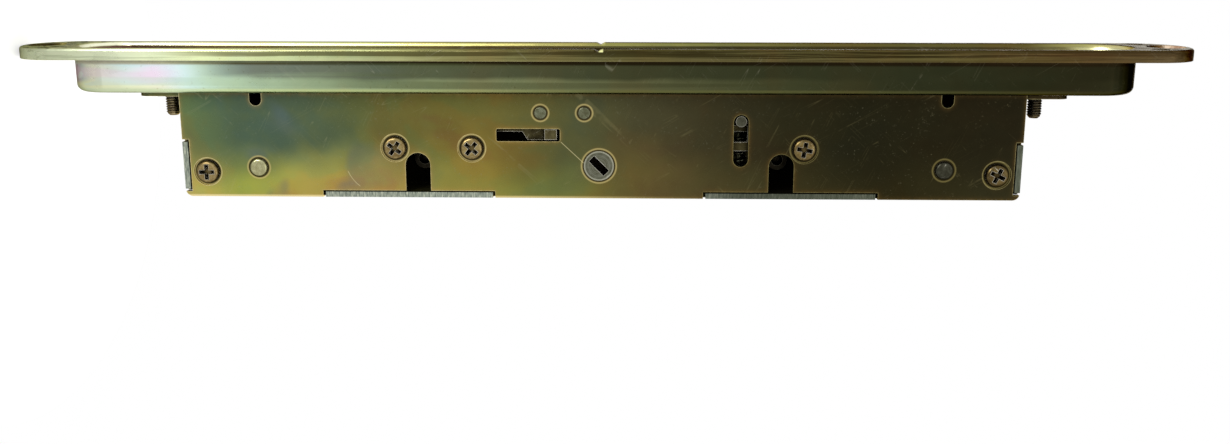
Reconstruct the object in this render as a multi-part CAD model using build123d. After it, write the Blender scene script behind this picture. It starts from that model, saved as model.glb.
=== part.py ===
from build123d import *
import os
from math import atan2, cos, degrees, radians, sin, sqrt

# Two-point hook mortise lock with a dished faceplate, for a sliding patio door. Millimetres.
# +Z runs along the faceplate, whose outer face looks along -Y and whose flange rests on the
# door's edge at y = 0. The case's cover plate is on the +X side. The origin is midway between
# the end screws. A "depth" is measured from the outer face, and a "drop" from the case's front edge.
# The lower half (z < 0) mirrors the upper half unless a function says otherwise.

# ---- faceplate ----
face_length = 320.7
face_width = 25.4
flange_thickness = 3.2
flange_round = 0.8
flange_end = 15.95             # face's end to the trough's mouth
flange_side = 3.1              # face's long edge to the trough's mouth
end_screw_inset = 6.35         # from the face's end
end_hole_diameter = 6.1
end_sink_diameter = 10.2
trough_end_slope = 4.8         # how far each end wall leans in, mouth to floor
trough_side_slope = 0.8
trough_end_wall = 0.95         # at the mouth
trough_side_wall = 1.5         # at the mouth
trough_corner = 2.0            # outside, round the floor
rim_round = 1.2
floor_depth = 10.3
floor_thickness = 2.0
groove_width = 2.2             # V groove across both lips at mid length
groove_depth = 0.6
mark_diameter = 4.7            # ejector marks of the casting
mark_depth = 0.15
flange_mark_inset = 11.35      # from the face's end
flange_mark_margin = 4.5       # from the face's long edge
floor_mark_inset = 11.0        # from the trough's end, at the mouth
tray_slot_overrun = 1.8        # hook's slot past the pivot
slot_corner = 0.6

# ---- inner plate and its screws ----
plate_side_gap = 1.25          # to the trough's side, on the floor
plate_thickness = 1.5
plate_edge = 0.3               # broken edge
plate_end = 5.0                # star screw to the plate's end
keyhole_overrun = 1.3          # keyhole's round end past the pivot
keyhole_margin = 1.3           # round end's radius beyond half the slot
star_screw_inset = 7.0         # from the case's end
star_head_diameter = 7.0
star_shank_diameter = 4.2
star_screw_length = 6.2
star_recess_radius = 1.55
star_lobe_radius = 0.46
flat_recess_depth = 1.1
label_screw_z = -36.9
label_length = 23.2
label_width = 7.2
label_thickness = 0.15
label_z = -35.3
label_x = -0.6
label_turn = 3.5               # degrees

# ---- tray screws ----
tray_screw_outset = 4.5        # past the case's end
tray_head_diameter = 6.7
tray_shank_diameter = 3.3
tray_screw_length = 9.3
tray_screw_turn = 20           # degrees
cross_recess_span = 4.2
cross_recess_width = 1.15
screw_point = 0.5              # chamfer at the point

# ---- case ----
case_length = 230.6
case_depth = 29.2              # front edge, on the tray, to the back
case_thickness = 14.0
sheet = 1.5
case_corner = 2.0
bend_inside = 0.4              # inside radius of each fold
rear_tab_before = 20.6         # handle screw to the rear tab's near end
rear_tab_past = 26.0           # handle screw to the rear tab's far end
end_tab_drop = 13.9
end_tab_margin = 2.1           # end tab to the case's back
tab_gap = 0.7                  # relief beside each tab, in the cover only
back_wall_gap = 0.4            # back wall to the end tab's inner face
tab_clearance = 0.4            # cover's edge to a tab
ear_end = 7.7                  # tray screw to the ear's end
ear_corner = 3.0
ear_gap = 0.6                  # ear's fold to the star screw
seat_gap = 0.1                 # cover's front edge to the tray

# ---- handle and hub ----
notch_width = 6.9
handle_screw_hole = 3.3        # tapped
handle_nut_diameter = 6.2
handle_nut_height = 2.0        # inside the far wall
handle_nut_shank = 4.4
handle_nut_floor = 0.5         # closed end
handle_nut_edge = 0.3
hub_drop = 20.1
hub_diameter = 8.2
hub_neck_diameter = 7.0
tailpiece_length = 5.8         # slot for the handle's tailpiece
tailpiece_width = 2.2
tailpiece_corner = 0.3
hub_turn = 90.0                # degrees
cam_boss_radius = 4.9
cam_end_radius = 2.5
cam_low_x = -2.5
cam_gap = 0.5                  # cam to the bars' layer

# ---- hooks ----
pivot_inset = 21.0             # from the case's end
hook_room = 4.5                # sweep of the hook to the handle screw
pivot_drop = 20.9
pivot_pin_diameter = 4.1
pivot_head_diameter = 4.9
pivot_head_height = 0.9
pivot_head_round = 0.7
hook_swing = 50.0              # degrees
hook_reach = 39.8              # pivot to the nose's outer corner
hook_plate_thickness = 1.9
hook_plates = 3
hook_edge = 0.2                # broken edge of each plate
hook_corner = 0.5
hook_soft_corner = 2.0
hook_boss_radius = 6.2
boss_start_angle = -52.0       # angles are seen from the pivot, from the line towards the hub
boss_middle_angle = -120.0
boss_end_angle = 172.0
heel_radius = 20.3
heel_start_angle = 72.0
heel_end_angle = 84.0
heel_lean = 1.4                # of the heel's inner edge
back_angle = 19.0              # where the outer arc ends
elbow_inset = 11.5             # elbow of the arm's back edge, inside the hook's reach
elbow_rise = 3.7
elbow_round = 4.0
nose_rise = 23.3               # nose flat above the pivot
nose_length = 9.3
tip_height = 1.3               # blunt tip of the nose
tip_overhang = 0.3
mouth_rise = 14.2              # mouth's bottom above the pivot
mouth_undercut = 3.6
undercut_height = 3.4          # of its deepest point above the mouth's bottom
undercut_round = 1.0
mouth_toe = 2.6                # mouth's lowest corner, from the undercut
mouth_fall = 0.5
mouth_round = 1.6
drive_pin_radius = 1.6
drive_pin_arm = 10.0
rivet_radius = 1.3
nose_rivet_inset = 6.8         # inside the hook's reach
nose_rivet_angle = 27.0
arm_rivet_arm = 16.0
arm_rivet_angle = 20.0
heel_rivet_inset = 5.3         # inside the heel's radius
heel_rivet_angle = 80.0
washer_radius = 3.9

# ---- drive bars ----
bar_width = 3.3
bar_top_drop = 7.6             # upper edge of the outer run
bar_slot_wall = 1.6            # round the upright slot
bar_slot_corner = 1.2
window_run_drop = 13.6         # upper edge of the run behind the vertical slot
window_run_width = 2.5
low_run_width = 3.0            # run behind the hub
low_run_length = 17.0          # past the hub's pin
ramp_inset = 8.0               # ramp's end before the plunger
riser_gap = 0.35               # beside the plunger's slot
riser_width = 2.6
fork_half_width = 3.4
fork_web = 1.4
hub_pin_radius = 1.2
bar_tab_z = -13.25             # tab in the cover's window
bar_tab_length = 3.3
bar_tab_height = 2.8
bar_tab_drop = 11.5            # its middle
bar_tab_recess = 0.3           # below the cover's face
tab_shoulder = 6.5             # end of the wide part, past the tab
shoulder_slope = 1.4
joint_overlap = 0.5            # overlap of the bar's own runs

# ---- slots and posts seen on the cover ----
window_z = -19.4
window_length = 17.5
window_height = 3.5
window_drop = 11.6             # its middle
window_corner = 0.5
guide_slot_width = 4.1
guide_slot_top = 5.8           # drop of its upper end
guide_slot_bottom = 20.2
locating_notch_inset = 21.1    # from the case's end
locating_notch_depth = 3.75
locating_notch_width = 3.3
lower_screw_reach = 6.2        # handle screw to the cover screw beyond it
upper_screw_reach = 6.1
middle_screw_z = -35.0
cover_screw_drop = 15.3
end_cover_screw_inset = 6.6    # from the case's end
end_cover_screw_drop = 22.2
cover_post_diameter = 5.0
cover_head_diameter = 6.2
cover_head_height = 1.5
cover_head_round = 0.9
cover_recess_depth = 1.2
cover_screw_turns = (35, 40, 10, 0, 25)     # degrees
cover_dish_diameter = 7.8
cover_dish_depth = 0.4
cover_thread_diameter = 3.0
cover_thread_length = 8.0
thread_run_out = 0.5           # tapped depth past the screw's point

# ---- anti-slam plunger and its lever ----
button_inset = 11.2            # handle screw to the button
button_diameter = 4.6
button_round = 0.8
button_proud = 2.0             # above the inner plate
button_hole_gap = 0.5          # in the inner plate, on the radius
plunger_body_drop = 9.5        # end of the thick part
stem_diameter = 2.2
stem_overrun = 1.0             # past the bracket
guide_pin_diameter = 2.9
guide_pin_drop = 7.7
guide_pin_recess = 0.2         # below the cover's face
guide_pin_seat = 0.4           # short of the button's far side
bracket_drop = 21.7
bracket_thickness = 1.2
bracket_width = 8.0
bracket_overhang = 1.0         # shelf past the spring
bracket_foot_height = 4.0
bracket_foot_thickness = 0.8
spring_turns = 6
spring_wire_diameter = 0.7
lever_post_z = -4.0
stop_post_z = -16.0
small_post_drop = 5.45
small_post_diameter = 3.3
small_post_proud = 0.25
small_post_shoulder = 0.7
lever_thickness = 1.6
lever_hub_radius = 3.1
lever_ring_radius = 4.0
lever_ring_hole = 5.6
lever_arm_radius = 2.4
lever_fork_length = 8.5
lever_prong = 1.7
lever_prong_corner = 0.8
lever_fork_floor = 0.5         # fork's slot past the pin

# ---- detent spring ----
leaf_thickness = 0.6
leaf_width = 2.6
leaf_half_span = 11.0
leaf_stud_radius = 1.0

# ---- clearances ----
running_gap = 0.05             # pin in a hole that turns or slides on it, on the radius
fixed_gap = 0.02               # pin or screw in the hole that holds it
slot_gap = 0.15                # hook pin in a bar's slot
fork_gap = 0.3                 # hub pin in a bar's fork
lever_fork_gap = 0.2           # plunger's pin in the lever's fork
washer_play = 0.1              # beside a hook, along its pivot
side_gap = 0.35                # between layers that slide past each other
lever_gap = 0.7                # lever to the bars' layer
cover_gap = 0.5                # bars to the cover
body_gap = 0.3                 # button and screw heads in plain holes
pin_overrun = 0.2              # pins past the layer they work in
slot_side_gap = 0.75           # hook in the faceplate's slot, each side
slot_end_gap = 1.2             # nose to the slot's inner end as it swings

# ---- worked out from the values above ----
face_y = -flange_thickness
floor_y = face_y + floor_depth
face_end = face_length / 2
trough_length = face_length - 2 * flange_end
trough_width = face_width - 2 * flange_side
plate_width = trough_width - 2 * trough_side_slope - 2 * plate_side_gap
plate_top = floor_y - plate_thickness
case_front = floor_y + floor_thickness
case_back = case_front + case_depth
case_end = case_length / 2
wall_x = case_thickness / 2
inner_x = wall_x - sheet
bend_round = sheet + bend_inside
star_screw_z = case_end - star_screw_inset
tray_screw_z = case_end + tray_screw_outset
ear_start = star_screw_inset - star_shank_diameter / 2 - ear_gap
plate_length = 2 * (star_screw_z + plate_end)
hub_y = case_front + hub_drop
pivot_z = case_end - pivot_inset
pivot_y = case_front + pivot_drop
handle_z = pivot_z - hook_reach - hook_room
hook_half = hook_plates * hook_plate_thickness / 2
slot_width = 2 * (hook_half + slot_side_gap)
slot_start = pivot_z - sqrt(hook_reach**2 - pivot_drop**2) - slot_end_gap
tray_slot_end = pivot_z + tray_slot_overrun
keyhole_z = pivot_z + keyhole_overrun
keyhole_radius = slot_width / 2 + keyhole_margin
swing_half = radians(hook_swing / 2)
bar_travel = 2 * drive_pin_arm * sin(swing_half)
hub_arm = bar_travel / (2 * sin(radians(hub_turn / 2)))
drive_pin_z = pivot_z - drive_pin_arm * sin(swing_half)
drive_pin_y = pivot_y - drive_pin_arm * cos(swing_half)
bar_low_x = hook_half + side_gap
bar_high_x = inner_x - cover_gap
bar_top = case_front + bar_top_drop
cam_high_x = bar_low_x - cam_gap
lever_low_x = bar_low_x - lever_gap - lever_thickness
spring_low_x = -inner_x + bracket_foot_thickness + side_gap
spring_high_x = lever_low_x - side_gap
button_x = (spring_low_x + spring_high_x) / 2
button_z = handle_z - button_inset
small_post_y = case_front + small_post_drop
guide_pin_y = case_front + guide_pin_drop
rear_tab_start = handle_z - rear_tab_before
rear_tab_end = handle_z + rear_tab_past


def side(sketch, x_low, x_high):
    """Prism of a sketch drawn in (z, y), between two x values."""
    plane = Plane(origin=(x_high, 0, 0), x_dir=(0, 0, 1), z_dir=(-1, 0, 0))
    return extrude(plane * sketch, amount=x_high - x_low, dir=(-1, 0, 0))


def depth_plane(y):
    """Plane across Y at a given y, for sketches drawn in (z, x)."""
    return Plane(origin=(0, y, 0), x_dir=(0, 0, 1), z_dir=(0, 1, 0))


def front(sketch, y_low, y_high):
    """Prism of a sketch drawn in (z, x), between two y values."""
    return extrude(depth_plane(y_low) * sketch, amount=y_high - y_low, dir=(0, 1, 0))


def cross_rod(z, y, radius, x_low, x_high):
    """Round bar along X."""
    return side(Pos(z, y) * Circle(radius), x_low, x_high)


def deep_rod(z, x, radius, y_low, y_high):
    """Round bar along Y."""
    return front(Pos(z, x) * Circle(radius), y_low, y_high)


def box_zy(z_low, z_high, y_low, y_high):
    """Rectangle in a (z, y) sketch, from its limits."""
    middle = Pos((z_low + z_high) / 2, (y_low + y_high) / 2)
    return middle * Rectangle(z_high - z_low, y_high - y_low)


def sink(z, x, top_diameter, hole_diameter, y_top):
    """Ninety-degree countersink whose mouth lies at y_top."""
    fall = (top_diameter - hole_diameter) / 2
    mouth = depth_plane(y_top) * Pos(z, x) * Circle(top_diameter / 2)
    throat = depth_plane(y_top + fall) * Pos(z, x) * Circle(hole_diameter / 2)
    return loft([mouth, throat])


def lower_half(part):
    """The same part for the lower half of the lock."""
    return mirror(part, about=Plane.XY)


def save(part, name):
    """Write one node; a node of several solids becomes a compound."""
    solids = part.solids()
    shape = solids[0] if len(solids) == 1 else Compound(children=list(solids))
    export_step(shape, f"parts/{name}.step")


# ---- faceplate -------------------------------------------------------------------------------

def trough_solid():
    """Hollow of the trough: round ends, narrowing from its mouth to its floor."""
    mouth = SlotOverall(trough_length, trough_width)
    floor = SlotOverall(trough_length - 2 * trough_end_slope, trough_width - 2 * trough_side_slope)
    return loft([depth_plane(face_y) * mouth, depth_plane(floor_y) * floor])


def faceplate_tray():
    """Die-cast flange with the dished trough behind it."""
    flange = front(SlotOverall(face_length, face_width), face_y, 0)
    flange = fillet(flange.edges().group_by(Axis.Y)[0], flange_round)
    shell_outline = SlotOverall(trough_length + 2 * trough_end_wall, trough_width + 2 * trough_side_wall)
    shell = front(shell_outline, face_y / 2, case_front)
    shell = fillet(shell.edges().group_by(Axis.Y)[-1], trough_corner)
    tray = flange + shell - trough_solid()
    flat = [face for face in tray.faces().sort_by(Axis.Y)[:3] if face.inner_wires()]
    tray = fillet(flat[0].inner_wires()[0].edges(), rim_round)
    groove = Polyline((-groove_width / 2, 0), (0, groove_depth), (groove_width / 2, 0), close=True)
    tray -= side(Pos(0, face_y) * make_face(groove), -face_width, face_width)
    for end in (-1, 1):
        z = end * (face_end - end_screw_inset)
        tray -= deep_rod(z, 0, end_hole_diameter / 2, face_y, 0)
        tray -= sink(z, 0, end_sink_diameter, end_hole_diameter, face_y)
        flange_mark_z = end * (face_end - flange_mark_inset)
        flange_mark_x = face_width / 2 - flange_mark_margin
        for x in (-flange_mark_x, flange_mark_x):
            tray -= deep_rod(flange_mark_z, x, mark_diameter / 2, face_y, face_y + mark_depth)
        floor_mark_z = end * (trough_length / 2 - floor_mark_inset)
        tray -= deep_rod(floor_mark_z, 0, mark_diameter / 2, plate_top, floor_y + mark_depth)
        middle = end * (slot_start + tray_slot_end) / 2
        slot = Pos(middle, 0) * RectangleRounded(tray_slot_end - slot_start, slot_width, slot_corner)
        tray -= front(slot, plate_top, case_front)
        tray_hole = tray_shank_diameter / 2 + body_gap
        tray -= deep_rod(end * tray_screw_z, 0, tray_hole, plate_top, case_front)
        tray -= sink(end * tray_screw_z, 0, tray_head_diameter + 2 * fixed_gap, 2 * tray_hole, floor_y)
    for z in (-star_screw_z, label_screw_z, star_screw_z):
        tray -= deep_rod(z, 0, star_shank_diameter / 2 + fixed_gap, plate_top, case_front)
    tray -= deep_rod(button_z, button_x, button_diameter / 2 + running_gap, plate_top, case_front)
    return tray


def inner_plate():
    """Stamped plate on the trough's floor, with a keyhole slot for each hook."""
    plate = front(SlotOverall(plate_length, plate_width), plate_top, floor_y)
    plate = chamfer(plate.edges().group_by(Axis.Y)[0], plate_edge)
    for end in (-1, 1):
        slot = Pos(end * (slot_start + keyhole_z) / 2, 0) * Rectangle(keyhole_z - slot_start, slot_width)
        keyhole = slot + Pos(end * keyhole_z, 0) * Circle(keyhole_radius)
        plate -= front(keyhole, plate_top, floor_y)
    for z in (-star_screw_z, label_screw_z, star_screw_z):
        hole = star_shank_diameter + 2 * fixed_gap
        plate -= deep_rod(z, 0, hole / 2, plate_top, floor_y)
        plate -= sink(z, 0, star_head_diameter + 2 * fixed_gap, hole, plate_top)
    plate -= deep_rod(button_z, button_x, button_diameter / 2 + button_hole_gap, plate_top, floor_y)
    return plate


def flat_screw(z, head_diameter, shank_diameter, length, y_top, recess):
    """Countersunk screw along +Y with its head flush at y_top and a given recess sketch."""
    screw = sink(z, 0, head_diameter, shank_diameter, y_top)
    screw += deep_rod(z, 0, shank_diameter / 2, y_top, y_top + length)
    screw = chamfer(screw.edges().group_by(Axis.Y)[-1], screw_point)
    return screw - front(Pos(z, 0) * recess, y_top, y_top + flat_recess_depth)


def star_recess():
    """Six-lobed recess."""
    lobes = [place * Circle(star_lobe_radius) for place in PolarLocations(star_recess_radius, 6)]
    return Circle(star_recess_radius) + lobes


def cross_recess(turn):
    """Cross recess turned by an angle in degrees."""
    slot = Rectangle(cross_recess_span, cross_recess_width)
    return Rot(0, 0, turn) * (slot + Rot(0, 0, 90) * slot)


def inner_plate_screws():
    """Three star-recess screws, the third under the label."""
    sizes = (star_head_diameter, star_shank_diameter, star_screw_length)
    screws = Part()
    for z in (-star_screw_z, label_screw_z, star_screw_z):
        screws += flat_screw(z, *sizes, plate_top, star_recess())
    return screws


def tray_screws():
    """Two screws from the tray's floor into the case's ears."""
    sizes = (tray_head_diameter, tray_shank_diameter, tray_screw_length)
    screws = Part()
    for end in (-1, 1):
        recess = cross_recess(end * tray_screw_turn)
        screws += flat_screw(end * tray_screw_z, *sizes, floor_y, recess)
    return screws


def label():
    """Paper label stuck over the third screw of the inner plate."""
    outline = Pos(label_z, label_x) * Rot(0, 0, label_turn) * Rectangle(label_length, label_width)
    return front(outline, plate_top - label_thickness, plate_top)


# ---- case ------------------------------------------------------------------------------------

def wall_outline():
    """Side outline shared by the far wall and the cover, with its two back corners rounded."""
    outline = box_zy(-case_end, case_end, case_front, case_back)
    return fillet(outline.vertices().group_by(Axis.Y)[-1], case_corner)


def cover_screw_places():
    """(z, y) of the five cover screws."""
    middle_y = case_front + cover_screw_drop
    middle_z = (-handle_z - lower_screw_reach, middle_screw_z, handle_z + upper_screw_reach)
    end_y = case_front + end_cover_screw_drop
    end_z = case_end - end_cover_screw_inset
    return [(z, middle_y) for z in middle_z] + [(-end_z, end_y), (end_z, end_y)]


def folded_profile(length):
    """L section of a fold: a short leg on the wall and a leg of the given length across the case."""
    foot = 2 * sheet
    corners = [(0, 0), (length, 0), (length, sheet), (sheet, sheet), (sheet, foot), (0, foot)]
    section = make_face(Polyline(corners, close=True))
    outer = section.vertices().sort_by_distance((0, 0, 0))[0]
    section = fillet(outer, bend_round)
    inner = section.vertices().sort_by_distance((sheet, sheet, 0))[0]
    return fillet(inner, bend_inside)


def rear_fold(start, end, length):
    """Fold of the far wall's back edge, from z = start to end and a length across the case."""
    plane = Plane(origin=(-wall_x, case_back, start), x_dir=(1, 0, 0), z_dir=(0, 0, -1))
    return extrude(plane * folded_profile(length), amount=end - start, dir=(0, 0, 1))


def back_wall_limits():
    """Nearest and furthest z of the upper half's back wall, clear of the hub's cam."""
    return rear_tab_start - tab_gap, case_end - sheet - back_wall_gap


def back_wall():
    """Back wall of the upper half under the cover, and its tab up to the cover's outer face."""
    wall = rear_fold(*back_wall_limits(), wall_x + inner_x - side_gap)
    return wall + rear_fold(rear_tab_start, rear_tab_end, case_thickness)


def end_fold(start, end, length):
    """Fold of the far wall's end edge, from y = start to end and a length across the case."""
    plane = Plane(origin=(-wall_x, start, case_end), x_dir=(1, 0, 0), z_dir=(0, 1, 0))
    return extrude(plane * folded_profile(length), amount=end - start, dir=(0, 1, 0))


def end_tab_limits(gap):
    """Lowest and highest y of an end tab with a gap on both sides."""
    return case_front + end_tab_drop - gap, case_back - end_tab_margin + gap


def end_tab():
    """End tab of the upper half, up to the cover's outer face, and its shoulders under the cover."""
    shoulders = end_fold(*end_tab_limits(tab_gap), wall_x + inner_x - side_gap)
    return shoulders + end_fold(*end_tab_limits(0), case_thickness)


def ear():
    """Ear of the upper half, folded from the far wall's front edge and lying on the tray."""
    start = case_end - ear_start
    plane = Plane(origin=(-wall_x, case_front, start), x_dir=(1, 0, 0), z_dir=(0, 0, 1))
    width = wall_x + inner_x - side_gap
    bend = extrude(plane * folded_profile(width), amount=ear_start, dir=(0, 0, 1))
    end = tray_screw_z + ear_end
    middle_x = (bend_round + width) / 2 - wall_x
    flat = Pos((start + end) / 2, middle_x) * Rectangle(end - start, width - bend_round)
    flat = fillet(flat.vertices().group_by(Axis.X)[-1], ear_corner)
    flat = front(flat, case_front, case_front + sheet)
    flat -= deep_rod(tray_screw_z, 0, tray_shank_diameter / 2 + fixed_gap, case_front, case_front + sheet)
    return bend + flat


def case_body():
    """Far wall with its folded back walls, end tabs and ears, one piece of sheet."""
    wall = wall_outline()
    leg = 2 * sheet
    tab_top, tab_bottom = end_tab_limits(tab_gap)
    for end in (-1, 1):
        low, high = sorted(end * z for z in back_wall_limits())
        wall -= box_zy(low, high, case_back - leg, case_back)
        low, high = sorted((end * (case_end - leg), end * case_end))
        wall -= box_zy(low, high, tab_top, tab_bottom)
        low, high = sorted((end * (case_end - ear_start), end * case_end))
        wall -= box_zy(low, high, case_front, case_front + leg)
        wall -= Pos(end * handle_z, hub_y) * Circle(handle_nut_shank / 2 + fixed_gap)
        wall -= Pos(end * pivot_z, pivot_y) * Circle(pivot_pin_diameter / 2 + fixed_gap)
    wall -= Pos(0, hub_y) * Circle(hub_diameter / 2 + running_gap)
    for z in (lever_post_z, stop_post_z):
        wall -= Pos(z, small_post_y) * Circle(small_post_diameter / 2 + fixed_gap)
    body = side(wall, -wall_x, -inner_x)
    folds = back_wall() + end_tab() + ear()
    return body + folds + lower_half(folds)


def case_cover():
    """Flat cover plate with every opening that the mechanism needs."""
    plate = wall_outline() - box_zy(-case_end, case_end, case_front, case_front + seat_gap)
    tab_clear = sheet + tab_clearance
    tab_top, tab_bottom = end_tab_limits(tab_gap)
    for end in (-1, 1):
        low, high = sorted((end * (rear_tab_start - tab_gap), end * (rear_tab_end + tab_gap)))
        plate -= box_zy(low, high, case_back - tab_clear, case_back)
        low, high = sorted((end * (case_end - tab_clear), end * case_end))
        plate -= box_zy(low, high, tab_top, tab_bottom)
        plate -= Pos(end * handle_z, hub_y) * Circle(notch_width / 2)
        plate -= box_zy(end * handle_z - notch_width / 2, end * handle_z + notch_width / 2, hub_y, case_back)
        plate -= Pos(end * pivot_z, pivot_y) * Circle(pivot_pin_diameter / 2 + fixed_gap)
        locating_z = end * (case_end - locating_notch_inset)
        round_half = locating_notch_width / 2
        round_y = case_front + locating_notch_depth - round_half
        plate -= Pos(locating_z, round_y) * Circle(round_half)
        plate -= box_zy(locating_z - round_half, locating_z + round_half, case_front, round_y)
    plate -= Pos(0, hub_y) * Circle(hub_diameter / 2 + running_gap)
    for z in (lever_post_z, stop_post_z):
        plate -= Pos(z, small_post_y) * Circle(small_post_diameter / 2 + fixed_gap)
    window = RectangleRounded(window_length, window_height, window_corner)
    plate -= Pos(window_z, case_front + window_drop) * window
    guide_slot = SlotOverall(guide_slot_bottom - guide_slot_top, guide_slot_width, rotation=90)
    plate -= Pos(button_z, case_front + (guide_slot_top + guide_slot_bottom) / 2) * guide_slot
    for z, y in cover_screw_places():
        plate -= Pos(z, y) * Circle(cover_thread_diameter / 2 + fixed_gap)
    cover = side(plate, inner_x, wall_x)
    for z, y in cover_screw_places():
        cover -= cross_rod(z, y, cover_dish_diameter / 2, wall_x - cover_dish_depth, wall_x)
    return cover


def cover_screws():
    """Five cross-recess pan-head screws in the cover's dished seats."""
    seat = wall_x - cover_dish_depth
    top = seat + cover_head_height
    screws = Part()
    for (z, y), turn in zip(cover_screw_places(), cover_screw_turns):
        head = cross_rod(z, y, cover_head_diameter / 2, seat, top)
        head = fillet(head.edges().group_by(Axis.X)[-1], cover_head_round)
        thread = cross_rod(z, y, cover_thread_diameter / 2, seat - cover_thread_length, seat)
        recess = side(Pos(z, y) * cross_recess(turn), top - cover_recess_depth, top)
        screws += head + thread - recess
    return screws


def cover_posts():
    """Five tapped posts riveted to the far wall, on which the cover sits."""
    posts = Part()
    for z, y in cover_screw_places():
        post = cross_rod(z, y, cover_post_diameter / 2, -inner_x, inner_x)
        hole_end = wall_x - cover_dish_depth - cover_thread_length - thread_run_out
        posts += post - cross_rod(z, y, cover_thread_diameter / 2 + fixed_gap, hole_end, inner_x)
    return posts


def handle_nuts():
    """Two closed nuts riveted into the far wall for the handle's screws."""
    top = handle_nut_height - inner_x
    nuts = Part()
    for z in (-handle_z, handle_z):
        nut = cross_rod(z, hub_y, handle_nut_diameter / 2, -inner_x, top)
        nut = chamfer(nut.edges().group_by(Axis.X)[-1], handle_nut_edge)
        nut += cross_rod(z, hub_y, handle_nut_shank / 2, -wall_x, -inner_x)
        nuts += nut - cross_rod(z, hub_y, handle_screw_hole / 2, handle_nut_floor - wall_x, top)
    return nuts


def small_post(z, shoulder_x):
    """Post through both walls, thicker from the far wall up to shoulder_x."""
    post = cross_rod(z, small_post_y, small_post_diameter / 2, -wall_x, wall_x + small_post_proud)
    post = fillet(post.edges().group_by(Axis.X)[-1], small_post_proud)
    if shoulder_x > -inner_x:
        shoulder_radius = small_post_diameter / 2 + small_post_shoulder
        post += cross_rod(z, small_post_y, shoulder_radius, -inner_x, shoulder_x)
    return post


def detent_spring():
    """Leaf spring above the hub's cam, wrapped half round a stud at each end."""
    wrap = leaf_stud_radius + running_gap + leaf_thickness / 2
    y_leaf = hub_y - hub_arm - cam_end_radius - body_gap - leaf_thickness / 2
    y_stud = y_leaf - wrap
    leaf = Pos(0, y_leaf) * Rectangle(2 * leaf_half_span, leaf_thickness)
    studs = Sketch()
    for end in (-1, 1):
        ring = Circle(wrap + leaf_thickness / 2) - Circle(wrap - leaf_thickness / 2)
        keep = Pos(2 * end * wrap, 0) * Rectangle(4 * wrap, 4 * wrap)
        leaf += Pos(end * leaf_half_span, y_stud) * (ring & keep)
        studs += Pos(end * leaf_half_span, y_stud) * Circle(leaf_stud_radius)
    leaf = side(leaf, cam_low_x, cam_low_x + leaf_width)
    studs = side(studs, -inner_x, cam_low_x + leaf_width + pin_overrun)
    return leaf, studs


# ---- hub -------------------------------------------------------------------------------------

def hub_pin_places():
    """(z, y) of the hub's two pins at rest: face side first, then back side."""
    reach = hub_arm * sin(radians(hub_turn / 2))
    rise = hub_arm * cos(radians(hub_turn / 2))
    return [(reach, hub_y - rise), (-reach, hub_y + rise)]


def drive_hub():
    """Hub with two opposed cam arms and a slot for the handle's tailpiece."""
    rings = Pos(0, hub_y) * Circle(cam_boss_radius)
    arms = [Pos(z, y) * Circle(cam_end_radius) for z, y in hub_pin_places()]
    cam = make_hull(rings.edges() + arms[0].edges() + arms[1].edges())
    hub = side(cam, cam_low_x, cam_high_x)
    hub += cross_rod(0, hub_y, hub_neck_diameter / 2, -inner_x, inner_x)
    hub += cross_rod(0, hub_y, hub_diameter / 2, -wall_x, -inner_x)
    hub += cross_rod(0, hub_y, hub_diameter / 2, inner_x, wall_x)
    for z, y in hub_pin_places():
        hub -= cross_rod(z, y, hub_pin_radius + fixed_gap, cam_low_x, cam_high_x)
    slot = RectangleRounded(tailpiece_length, tailpiece_width, tailpiece_corner)
    return hub - side(Pos(0, hub_y) * Rot(0, 0, hub_turn / 2) * slot, -wall_x, wall_x)


def hub_drive_pins():
    """Two pins that stand out of the cam arms into the bars' forks."""
    pins = Part()
    for z, y in hub_pin_places():
        pins += cross_rod(z, y, hub_pin_radius, cam_low_x, bar_high_x + pin_overrun)
    return pins


# ---- drive bars ------------------------------------------------------------------------------

def bar_end(z_start):
    """Outer run of a bar from z_start, with the upright slot for the hook's drive pin."""
    run = box_zy(z_start, drive_pin_z, bar_top, bar_top + bar_width)
    pin_top = pivot_y - drive_pin_arm
    slot_half = drive_pin_radius + slot_gap
    slot_height = drive_pin_y - pin_top + 2 * slot_half
    slot_middle = (drive_pin_y + pin_top) / 2
    low = bar_top
    high = slot_middle + slot_height / 2 + bar_slot_wall
    end = RectangleRounded(2 * (slot_half + bar_slot_wall), high - low, bar_slot_corner)
    slot = RectangleRounded(2 * slot_half, slot_height, drive_pin_radius)
    return run + Pos(drive_pin_z, (low + high) / 2) * end - Pos(drive_pin_z, slot_middle) * slot


def fork(z, y_pin_far, y_tip):
    """Fork round a hub pin at z: y_pin_far is the pin's furthest depth, y_tip the prongs' tips."""
    away = 1 if y_pin_far > y_tip else -1
    slot_floor = y_pin_far + away * (hub_pin_radius + fork_gap)
    back = slot_floor + away * fork_web
    low, high = sorted((y_tip, back))
    plate = box_zy(z - fork_half_width, z + fork_half_width, low, high)
    low, high = sorted((y_tip, slot_floor))
    half_slot = hub_pin_radius + fork_gap
    return plate - box_zy(z - half_slot, z + half_slot, low, high), back


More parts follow.
